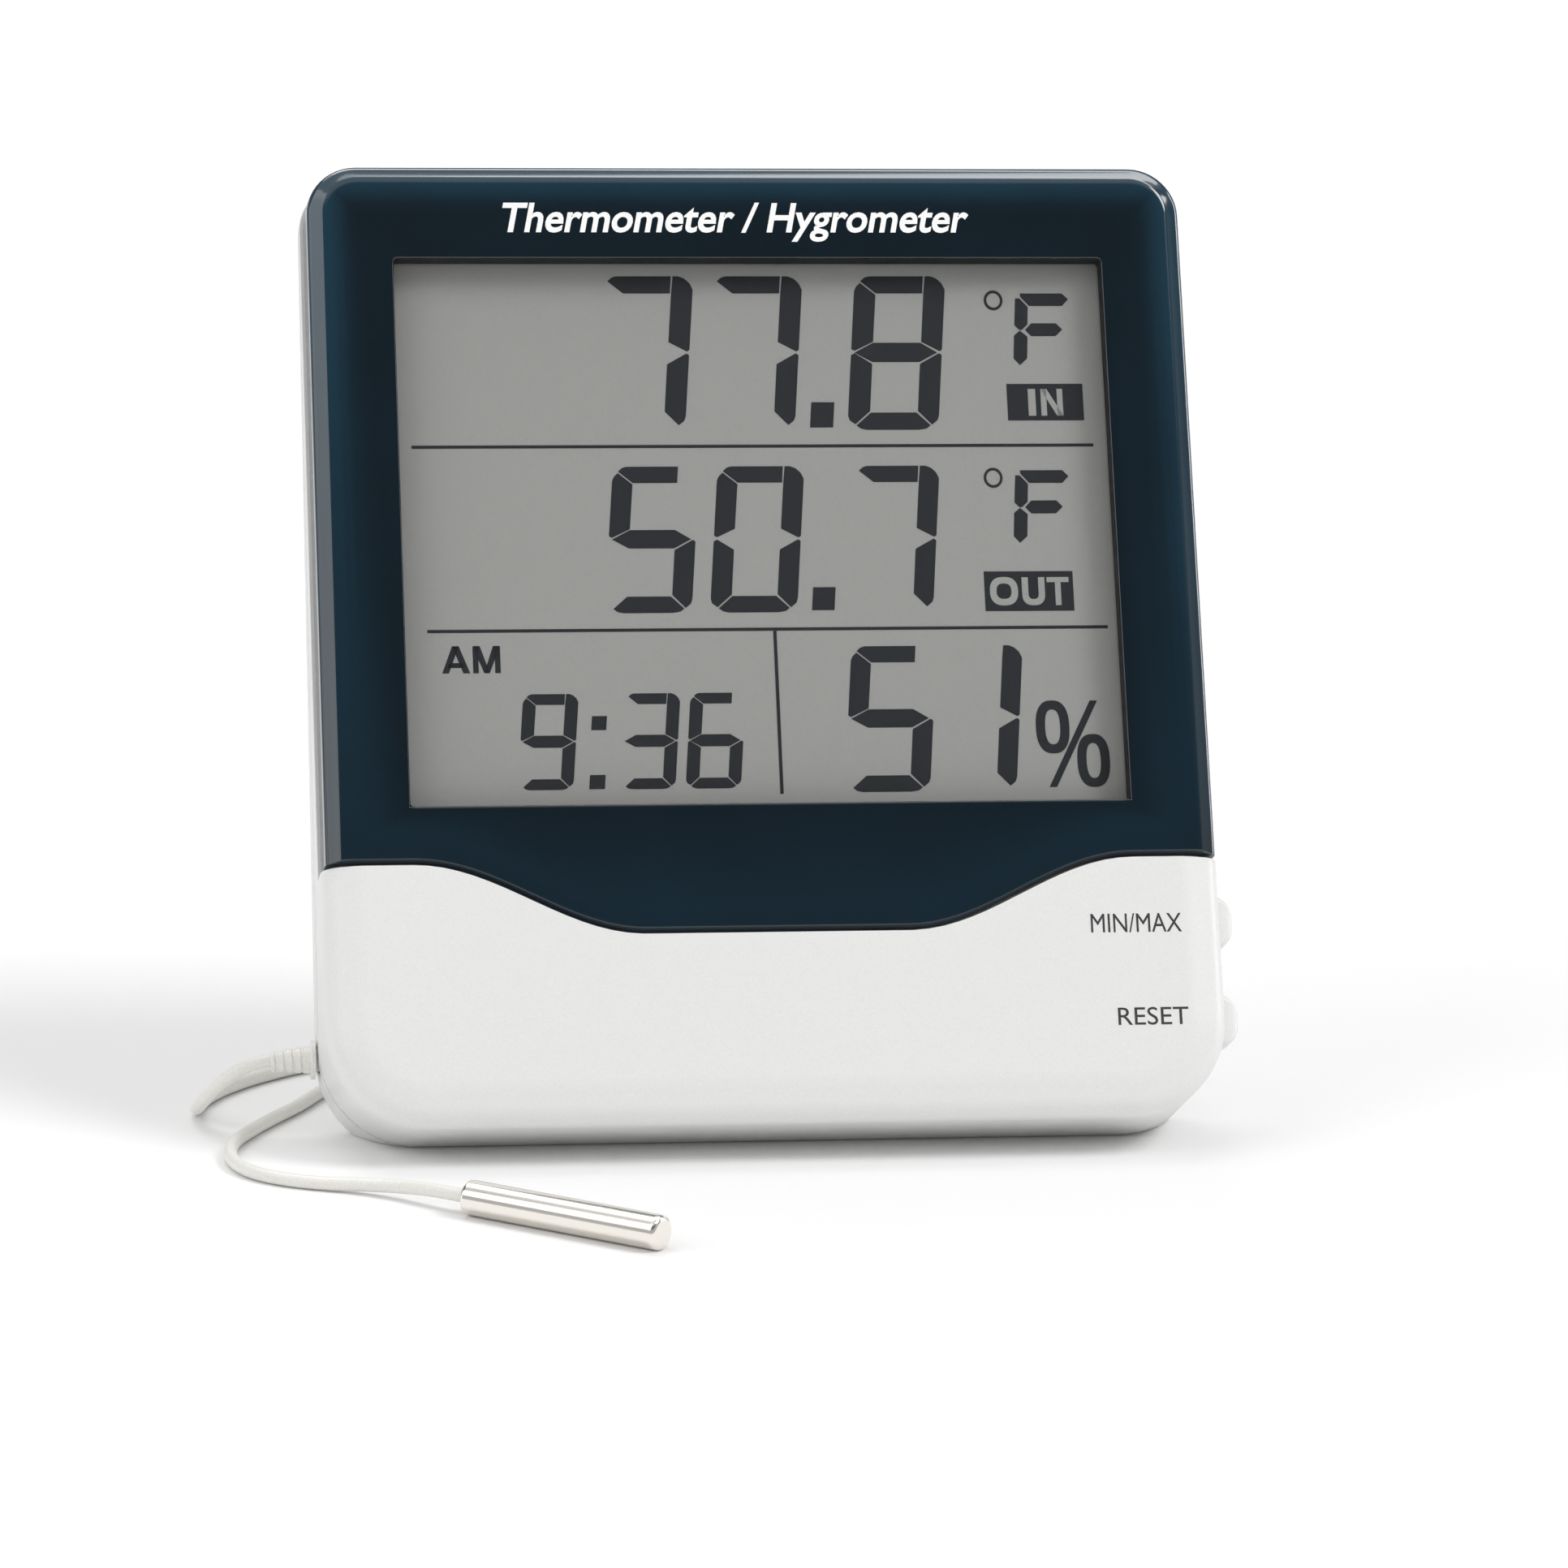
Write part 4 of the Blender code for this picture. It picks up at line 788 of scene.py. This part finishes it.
def segment_prisms():
    """Every dark shape on the display, as outlines in X and Z."""
    shapes = []
    rows = ((79.0, 18.05, (("7", -17.99, 10.35), ("7", -5.59, 10.35), ("8", 10.73, 10.35))),
            (57.9, 16.9, (("5", -17.5, 9.75), ("0", -5.7, 9.8), ("7", 9.7, 9.75))),
            (37.8, 10.9, (("9", -27.9, 6.17), ("3", -16.55, 6.17), ("6", -9.25, 6.17))),
            (37.2, 16.7, (("5", 8.5, 9.6), ("1", 18.25, 9.6))))
    for z, height, digits in rows:
        for digit, x, width in digits:
            for part in DIGITS[digit]:
                shapes.append([(x + u * width + v * height * SLANT, z + v * height)
                               for u, v in SEGMENTS[part]])
    for x, z, width, height in ((6.5, 79.3, 2.62, 2.95), (5.78, 58.1, 2.54, 2.65), (-19.5, 44.55, 1.68, 1.6),
                                (-19.96, 37.85, 1.74, 1.6)):
        shapes.append([(x, z), (x + width, z), (x + width + height * SLANT, z + height),
                       (x + height * SLANT, z + height)])
    for x, z in ((30.09, 86.55), (29.04, 65.75)):
        for part in LETTER_F:
            shapes.append([(x + u * 6.61, z + v * 8.47) for u, v in part])
    lines = ((-38.4, 38.7, 76.97, 77.33), (-37.3, 39.2, 55.77, 56.13), (1.3, 1.68, 37.1, 55.75))
    labels = ((29.1, 37.8, 80.05, 84.35), (25.4, 35.5, 57.85, 62.45))
    for x0, x1, z0, z1 in lines + labels:
        shapes.append([(x0, z0), (x1, z0), (x1, z1), (x0, z1)])
    shapes += letter("A", -35.8, -32.7, 51.15, 54.25) + letter("M", -32.35, -29.3, 51.15, 54.25)
    shapes += oval(32.3, 44.45, 1.9, 3.05, 1.05) + oval(36.75, 40.55, 1.85, 3.05, 1.05)
    shapes.append([(31.6, 37.55), (32.45, 37.55), (37.5, 47.45), (36.65, 47.45)])
    return shapes


def light_letters():
    """The letters left open in the two dark boxes."""
    shapes = letter("I", 31.5, 32.35, 80.6, 83.75) + letter("N", 32.95, 35.45, 80.6, 83.75)
    shapes += oval(27.6, 60.15, 1.6, 1.65, 0.75) + oval(30.95, 59.85, 1.3, 1.35, 0.72, 180, 360)
    shapes += letter("I", 29.65, 30.37, 59.8, 61.75) + letter("I", 31.53, 32.25, 59.8, 61.75)
    return shapes + letter("T", 32.5, 35.0, 58.5, 61.75)


def display():
    face = LCD_FACE - 0.03
    pieces = [prism("segment", shape, face, LCD_FACE) for shape in segment_prisms()]
    for x, z in ((28.09, 94.2), (27.04, 73.35)):
        rings = []
        for size, depth in ((1.0, face), (1.0, LCD_FACE), (0.72, LCD_FACE), (0.72, face)):
            angles = [radians(a) for a in range(0, 360, 10)]
            rings.append([(x + size * 1.08 * cos(a), depth, z + size * 1.18 * sin(a)) for a in angles])
        pieces.append(loft("degree", rings, cyclic=True))
    put(together("lcd_segments", *pieces), DEVICE, "lcd_dark")
    open_face = face - 0.01
    pieces = [prism("letter", shape, open_face, LCD_FACE) for shape in light_letters()]
    put(together("lcd_letters", *pieces), DEVICE, "lcd")
    glass = [at_depth(rounded(42.4, 32.6, 100.4, 0.3, 0.3, 3), y) for y in (LCD_FACE, 4.2)]
    glass += [at_depth(rounded(42.4, 36.5, 100.4, 0.3, 0.3, 3), y) for y in (4.2, 5.2)]
    put(loft("lcd_glass", glass), DEVICE, "lcd", ["lcd_panel"])
    lens = [at_depth(rounded(42.6, 32.4, 100.6, 0.5, 0.5, 4), y) for y in (2.9, 2.1)]
    lens += [at_depth(rounded(39.85 - d, 35.6 + d, 97.95 - d, 0.4, 0.4, 4), y)
             for d, y in ((0, 2.1), (0, 1.15), (0.1, 1.02), (0.25, 1.0))]
    put(loft("display_lens", lens), DEVICE, "clear_window", ["display_window"])


def print_legends():
    lettering("title_print", "Thermometer / Hygrometer", (-28.0, 25.0), (100.1, 104.7), -INK, "title",
              lean=0.21, weight=0.02)
    lettering("minmax_print", "MIN/MAX", (34.8, 45.0), (20.2, 22.35), -INK, "legend")
    lettering("reset_print", "RESET", (37.3, 45.2), (9.75, 11.75), -INK, "legend")
    for text, x, width in (("MODE", -16.0, 5.6), ("SET", 0.0, 4.2), ("°C/°F", 16.0, 5.6)):
        lettering(f"rear_print_{x + 16:.0f}", text, (-x - width / 2, -x + width / 2), (77.0, 78.6), INK,
                  "legend", REAR, back=True)


# ---- keys ----

def side_keys():
    """Each key is lofted along X from stations of place, half depth and half height."""
    stem = [(-2.7, 1.2, 1.2), (-1.4, 1.2, 1.2), (-1.4, 2.9, 3.0), (-0.6, 2.9, 3.0), (-0.6, 2.0, 3.0),
            (1.9, 2.0, 3.0), (2.0, 2.0, 3.0)]
    dome = [(2.0 + 2.5 * sin(radians(a)), 2.0 * cos(radians(a)) ** 0.55, 3.0 * cos(radians(a)) ** 0.8)
            for a in (12, 24, 36, 48, 58, 67, 75, 82, 87)]
    for name, height in SIDE_KEYS.items():
        rings = []
        for x, y, z in stem + dome:
            corner = 0.35 * min(y, z) if x > -0.6 else 0.2
            rings.append([(48.0 + x, KEY_DEPTH + p, height + q)
                          for p, q in rounded(y, -z, z, corner, corner, 5)])
        put(loft(name + "_cap", rings), DEVICE, "white_shell", [name], name)


def rear_keys():
    """Each key is a dished disc with a flange under it."""
    profile = [(0, 0.62), (0.9, 0.64), (1.6, 0.72), (2.05, 0.84), (2.3, 0.88), (2.55, 0.82), (2.76, 0.66),
               (2.87, 0.42), (2.9, 0.15), (2.9, -2.2), (3.9, -2.2), (3.9, -2.9), (0, -2.9)]
    for name, x in REAR_KEYS.items():
        place = REAR @ shift(x, 0, REAR_KEY_HEIGHT) @ turn(-pi / 2)
        put(turned(name + "_cap", profile), place, "white_shell", [name], name)


# ---- stand, door, fasteners ----

def stand():
    """A frame of two legs and a foot bar, cut off level with the table, with a hinge pin at each leg."""
    length = leg_length()
    foot = -length - 1.0
    inner, outer, half, edge = 30.0, 36.0, 1.3, 0.45
    middle, reach = (inner + outer) / 2, (outer - inner) / 2
    lower = [p for p in rounded(outer, foot, 0, 3.0, 3.0) if p[1] < foot + 3.05]
    inside = [p for p in rounded(inner, foot + 6.6, 0, 2.0, 2.0, 8) if p[1] < foot + 8.7]
    hinge_right = [(middle + reach * cos(radians(a)), PIN_RADIUS * sin(radians(a)))
                   for a in range(0, 181, 20)]
    hinge_left = [(x - 2 * middle, z) for x, z in hinge_right]
    outline = ([p for p in lower if p[0] > 0] + hinge_right + [p for p in inside if p[0] > 0][::-1]
               + [p for p in inside if p[0] < 0][::-1] + hinge_left + [p for p in lower if p[0] < 0])
    data = bpy.data.curves.new("stand", "CURVE")
    data.dimensions = "2D"
    data.fill_mode = "BOTH"
    data.extrude = (half - edge) * MM
    data.bevel_depth = edge * MM
    data.bevel_resolution = 3
    data.offset = -edge * MM
    spline = data.splines.new("POLY")
    spline.points.add(len(outline) - 1)
    for point, (x, z) in zip(spline.points, outline):
        point.co = (x * MM, z * MM, 0, 1)
    spline.use_cyclic_u = True
    whole = tilted(baked(bpy.data.objects.new("stand_frame", data)), turn(pi / 2))
    bm = bmesh.new()
    bm.from_mesh(whole.data)
    bpy.data.objects.remove(whole)
    bmesh.ops.remove_doubles(bm, verts=bm.verts, dist=1e-6)
    found = bmesh.ops.bisect_plane(bm, geom=bm.verts[:] + bm.edges[:] + bm.faces[:], clear_outer=True,
                                   plane_co=Vector((0, 0, -length * MM)),
                                   plane_no=turn(-STAND_ANGLE) @ Vector((0, 0, -1)))
    edges = [e for e in found["geom_cut"] if isinstance(e, bmesh.types.BMEdge)]
    bmesh.ops.edgenet_fill(bm, edges=edges)
    bmesh.ops.recalc_face_normals(bm, faces=bm.faces)
    legs = from_bmesh("stand_legs", bm)
    pins = [cylinder("pin", PIN_RADIUS, (side * 34, 0, 0), (side * 38.3, 0, 0)) for side in (-1, 1)]
    place = REAR @ shift(0, *HINGE) @ turn(STAND_ANGLE + LEAN - WEDGE)
    put(together("stand_frame", legs, *pins), place, "white_shell", ["stand"], "stand")


def door_outline(grow, steps):
    high = 7.4 + grow
    return rounded(27.3 + grow, BAY_HEIGHT - high, BAY_HEIGHT + high, 1.0 + grow, 1.0 + grow, steps)


def battery_door():
    """A plate with a thumb notch, an arrow and four ribs."""
    door = prism("door_plate", door_outline(0, 6), -1.3, 0.0, soft=0.22)
    notch = cylinder("notch", 7.0, (0, 6.5, BAY_HEIGHT + 5.2), (0, 6.5, BAY_HEIGHT + 9), 64)
    base, tip = BAY_HEIGHT - 1.2, BAY_HEIGHT + 2.2
    door = cut(door, notch, prism("arrow", [(-2.4, base), (2.4, base), (0, tip)], -0.25, 1))
    ribs = []
    for i in range(4):
        z = BAY_HEIGHT - 2.9 - 1.0 * i
        ribs.append(prism("rib", rounded(4.0, z - 0.25, z + 0.25, 0.24, 0.24, 4), -0.2, 0.2, soft=0.12))
    put(together("battery_cover", door, *ribs), REAR, "white_shell", ["battery_door"], "battery_door")


def screw_heads():
    """Case screws with a cross recess."""
    profile = [(0, 0), (1.35, 0.0), (1.6, -0.06), (1.8, -0.22), (1.9, -0.5), (1.9, -1.3), (1.0, -1.3),
               (1.0, -5.2), (0.2, -6.2), (0, -6.2)]
    for i, (x, z, sink) in enumerate(SCREWS):
        blades = [box("blade", (-a, -b, -0.9), (a, b, 1)) for a, b in ((1.05, 0.2), (0.2, 1.05))]
        body = cut(turned(f"case_screw_head_{i + 1}", profile), *blades)
        place = DEVICE @ shift(x, rear(z) - sink + 1.3, z) @ turn(-pi / 2)
        put(body, place, "screw_steel", [f"case_screw_{i + 1}"])


def battery():
    nub = 24.4
    profile = [(0, nub), (1.5, nub), (1.8, nub - 0.1), (1.9, nub - 0.3), (1.9, nub - 0.85),
               (2.6, nub - 0.95), (4.6, nub - 0.95), (4.9, nub - 0.9), (5.1, nub - 1.0), (5.2, nub - 1.3),
               (5.2, -19.6), (5.1, -19.9), (4.9, -20.0), (4.4, -20.1), (0, -20.1)]
    place = REAR @ shift(0, -CELL_DEPTH, BAY_HEIGHT) @ turn(pi / 2, "Y")
    put(turned("cell_can", profile, 64), place, "cell", ["battery_cell"], own_axes=True)
    helix, turns, steps = [], 5, 20
    for i in range(turns * steps + 1):
        share = i / (turns * steps)
        radius, angle = 4.2 - 1.9 * share, 2 * pi * i / steps
        helix.append((-24.2 + 3.4 * share, -CELL_DEPTH + radius * cos(angle),
                      BAY_HEIGHT + radius * sin(angle)))
    put(tube("cell_spring", helix, [0.3] * len(helix), 12), REAR, "nickel", ["battery_spring"])


# ---- cord and probe ----

TO_COIL = [
    (-51.5, 18.53, 8.54), (-54.4, 18.53, 8.54), (-56.6, 18.6, 8.2), (-58.7, 19.1, 7.2), (-60.5, 20.1, 5.6),
    (-61.8, 21.7, 3.8), (-62.5, 24.0, 2.2), (-62.6, 26.8, 1.2), (-62.1, 30.0, 0.8), (-60.6, 34.0, 0.77),
    (-57.6, 38.9, 0.77), (-53.2, 43.9, 0.77), (-47.5, 48.5, 0.77), (-40.5, 52.5, 0.77), (-32.5, 56.4, 0.77),
    (-25.0, 60.9, 0.85), (-19.2, 65.6, 1.0), (-16.2, 69.6, 1.15)]
TO_PROBE = [
    (-2.5, 53.1, 9.5), (-6.8, 52.8, 8.0), (-11.6, 52.4, 6.0), (-17.0, 51.9, 3.9), (-23.0, 51.4, 2.0),
    (-28.5, 50.8, 1.0), (-33.7, 49.7, 0.77), (-38.4, 47.5, 0.77), (-42.4, 44.2, 0.77), (-45.6, 39.9, 0.77),
    (-48.2, 35.0, 0.77), (-51.1, 28.9, 0.77), (-54.2, 23.5, 0.77), (-57.1, 18.0, 0.77), (-59.2, 13.2, 0.77),
    (-60.1, 8.2, 0.77), (-59.7, 3.4, 0.77), (-58.1, -0.4, 0.77), (-55.1, -3.4, 0.77), (-51.1, -5.6, 0.8),
    (-46.8, -7.5, 1.05), (-42.7, -10.3, 1.45), (-39.5, -13.5, 1.8), (-35.4, -17.6, 1.9)]


def coil_points(per_turn=16):
    """The wound part: turns side by side in layers, wound clockwise from outside at the bottom."""
    across_pitch, layer_pitch, lowest = 1.55, 1.5, 1.2
    columns = [COIL_RADIUS + across_pitch * (1.5 - i) for i in range(4)]
    slots = []
    for layer in range(6):
        order = columns[::-1] if layer % 2 else columns
        slots += [(radius, lowest + layer_pitch * layer) for radius in order]
    slots += [(radius, lowest + layer_pitch * 6) for radius in (columns[1], columns[0])]
    turns = len(slots) - 0.25
    band = 0.09  # share of a turn over which it moves to the next place
    points = []
    for i in range(round(turns * per_turn) + 1):
        place = i / (turns * per_turn) * len(slots)
        index = min(int(place), len(slots) - 1)
        share = place - index
        (r0, z0), (r1, z1) = slots[index], slots[min(index + 1, len(slots) - 1)]
        rise = eased((share - 1 + band) / (band * 0.6))
        across = eased((share - 1 + band * (0.6 if z1 > z0 else 1)) / (band * 0.6))
        radius = r0 + (r1 - r0) * across
        height = z0 + (z1 - z0) * rise
        angle = pi - 2 * pi * i / per_turn
        points.append((COIL_CENTRE.x + radius * cos(angle), COIL_CENTRE.y + radius * sin(angle), height))
    return points


def cord(with_pieces):
    route = TO_COIL + coil_points() + TO_PROBE
    data = bpy.data.curves.new("probe_cable", "CURVE")
    data.dimensions = "3D"
    data.bevel_depth = CORD_RADIUS * MM
    data.bevel_resolution = 4
    data.resolution_u = 5
    data.use_fill_caps = True
    spline = data.splines.new("BEZIER")
    spline.bezier_points.add(len(route) - 1)
    for point, place in zip(spline.bezier_points, route):
        point.co = Vector(place) * MM
        point.handle_left_type = point.handle_right_type = "AUTO"
    cable = put(bpy.data.objects.new("probe_cable", data), TABLE, "cable_white",
                ["cable_to_coil", "cable_to_probe", "cable_coil"])


def strain_relief():
    """A soft sleeve that follows the cable out of the wall, with a collar and four ribs."""
    profile = [(-48.9, 1.3), (-49.75, 1.3), (-50.05, 1.3), (-50.15, 2.2), (-50.55, 2.2), (-50.65, 1.5)]
    rib = ((0.0, 0.0), (0.5, 0.03), (0.58, 0.2), (0.82, 0.22), (0.9, 0.06))
    for i in range(4):
        start, top = -50.9 - 0.95 * i, 1.5 - 0.09 * i
        profile += [(start - along, top - sunk) for along, sunk in rib]
    path = [(x, SLEEVE_Y, SLEEVE_Z - 0.01225 * max(0.0, -51.5 - x) ** 2) for x, _ in profile]
    path += [(-54.9, SLEEVE_Y + 0.01, SLEEVE_Z - 0.12), (-55.0, SLEEVE_Y + 0.01, SLEEVE_Z - 0.13)]
    radii = [radius for _, radius in profile] + [1.12, 0.95]
    return put(tube("cable_sleeve", path, radii, 32), TABLE, "cable_white", ["strain_relief"])


def probe():
    r, inner, rim = PROBE_RADIUS, PROBE_RADIUS - 0.35, 0.6
    nose = [(r - rim + rim * sin(radians(a)), PROBE_LENGTH - rim + rim * cos(radians(a)))
            for a in range(0, 91, 15)]
    mouth = [(r, 0.5), (r, 0.35), (r - 0.05, 0.15), (r - 0.16, 0.03), (r - 0.3, 0), (inner - 0.05, 0.1),
             (inner, 0.3), (inner, 3.0), (0, 3.0)]
    profile = [(0, PROBE_LENGTH), (r - rim - 0.1, PROBE_LENGTH)] + nose + [(r, PROBE_LENGTH - 0.7)] + mouth
    place = TABLE @ shift(*PROBE_REAR) @ turn(PROBE_HEADING, "Z") @ turn(pi / 2, "Y")
    sheath = put(turned("probe_sheath", profile, 72), place, "nickel", ["probe_tube"], own_axes=True)
    plug = inner - 0.02
    profile = [(0, 2.9), (plug, 2.9), (plug, 0.55), (1.1, 0.4), (0.85, 0.15), (0.6, 0.1), (0, 0.1)]
    return [sheath, put(turned("probe_plug", profile, 40), place, "cable_white", ["probe_seal"])]


def cable_tie():
    """A flat tie round the coil, with its head and tail on the outside."""
    outer = rounded(3.95, 0.03, COIL_TOP, 1.2, 1.2, 8)
    inner = rounded(3.6, 0.38, COIL_TOP - 0.35, 0.9, 0.9, 8)
    rings = [at_depth(outer, -1.4), at_depth(outer, 1.4), at_depth(inner, 1.4), at_depth(inner, -1.4)]
    band = soften(loft("band", rings, cyclic=True), 0.08, 2, 50)
    head = [(x + 4.45, z) for x, z in rounded(0.75, 4.9, 8.3, 0.3, 0.3, 4)]
    head = soften(prism("head", head, -1.9, 1.9), 0.15, 2, 50)
    tail = [(3.9, 4.6), (4.3, 4.6), (4.75, 3.4), (5.0, 1.9), (4.75, 1.85), (4.45, 3.2), (4.1, 4.2),
            (3.9, 4.3)]
    tail = soften(prism("tail", tail, -1.3, 1.3), 0.08, 2, 50)
    place = TABLE @ shift(COIL_CENTRE.x + COIL_RADIUS, COIL_CENTRE.y, 0)
    return put(together("coil_tie", band, head, tail), place, "tie_white", ["cable_tie"])


# ---- hidden and small CAD nodes ----

def paint_rest():
    """Every CAD node that is still shown takes the finish of its slot."""
    slots = {part["node"]: part["material_slot"] for part in frame["record"]["subparts"]}
    for name, node in frame["nodes"].items():
        if not node.hide_render:
            node.data.materials.clear()
            node.data.materials.append(MATS[slots[name]])


# ---- room ----

def camera():
    data = bpy.data.cameras.new("camera")
    data.sensor_width = 36.0
    data.lens = 162.2
    data.clip_start, data.clip_end = 0.01, 20
    obj = linked("camera", data)
    right = Vector((0.98976, -0.14159, 0.01832))
    up = Vector((0.01019, 0.19808, 0.98013))
    forward = Vector((0.14241, 0.96991, -0.19749))
    facing = Matrix((right, up, -forward)).transposed().to_4x4()
    obj.matrix_world = Matrix.Translation((-0.11095, -0.76764, 0.19349)) @ facing
    bpy.context.scene.camera = obj


def strip_light(name, place, size, power):
    """A strip that shows only as a reflection, turned to the middle of the case."""
    middle = Vector((0, 0, 0.06))
    data = bpy.data.lights.new(name, "AREA")
    data.shape = "RECTANGLE"
    data.size, data.size_y = size
    data.energy = power
    obj = linked(name, data)
    obj.location = place
    obj.rotation_euler = (Vector(place) - middle).to_track_quat("Z", "Y").to_euler()
    obj.visible_diffuse = False


def sky(tree, background):
    """Even light from all round; in reflections, a dim band part of the way up."""
    split = add(tree, "SeparateXYZ")
    stops = ((0.38, 0.45), (0.48, 0.1), (0.71, 0.1), (0.79, 0.75))
    heights = ramp(tree, *((place, (value, value, value, 1)) for place, value in stops))
    mixed = add(tree, "MixRGB", Color1=(0.56, 0.56, 0.56, 1))
    link(tree, add(tree, "TexCoord"), "Generated", split, "Vector")
    link(tree, split, "Z", heights, "Fac")
    link(tree, add(tree, "LightPath"), "Is Glossy Ray", mixed, "Fac")
    link(tree, heights, "Color", mixed, "Color2")
    link(tree, mixed, "Color", background, "Color")


def sun(name, towards, spread, strength):
    """An even light over the whole floor, as wide as a soft box of that many degrees."""
    data = bpy.data.lights.new(name, "SUN")
    data.energy = strength
    data.angle = radians(spread)
    obj = linked(name, data)
    obj.rotation_euler = Vector(towards).to_track_quat("Z", "Y").to_euler()


def room():
    floor = box("studio_floor", (-4000, -3000, -5), (4000, 6000, -0.02))
    SHOWN.link(floor)
    paper, _ = principled("floor_paper", (0.9, 0.9, 0.9, 1), 0.9, Specular_IOR_Level=0.0)
    floor.data.materials.append(paper)
    sun("key", (0.62, -0.3, 0.72), 24, 1.25)
    sun("fill", (-0.72, -0.3, 0.62), 40, 0.6)
    sun("back", (-0.15, 0.45, 0.88), 40, 0.7)
    strip_light("rim", (0.1, 0.2, 0.7), (0.8, 0.16), 2.0)
    strip_light("right", (0.7, 0.1, 0.3), (0.16, 0.6), 2.0)
    strip_light("left", (-0.72, 0.04, 0.24), (0.2, 0.5), 0.4)
    world = bpy.data.worlds.new("studio")
    world.use_nodes = True
    background = world.node_tree.nodes["Background"]
    sky(world.node_tree, background)
    bpy.context.scene.world = world
    bpy.context.scene.view_settings.view_transform = "Standard"


front_housing()
bezel()
rear_housing()
display()
print_legends()
side_keys()
rear_keys()
stand()
battery_door()
screw_heads()
battery()
cord([strain_relief(), cable_tie(), *probe()])
paint_rest()
room()
camera()
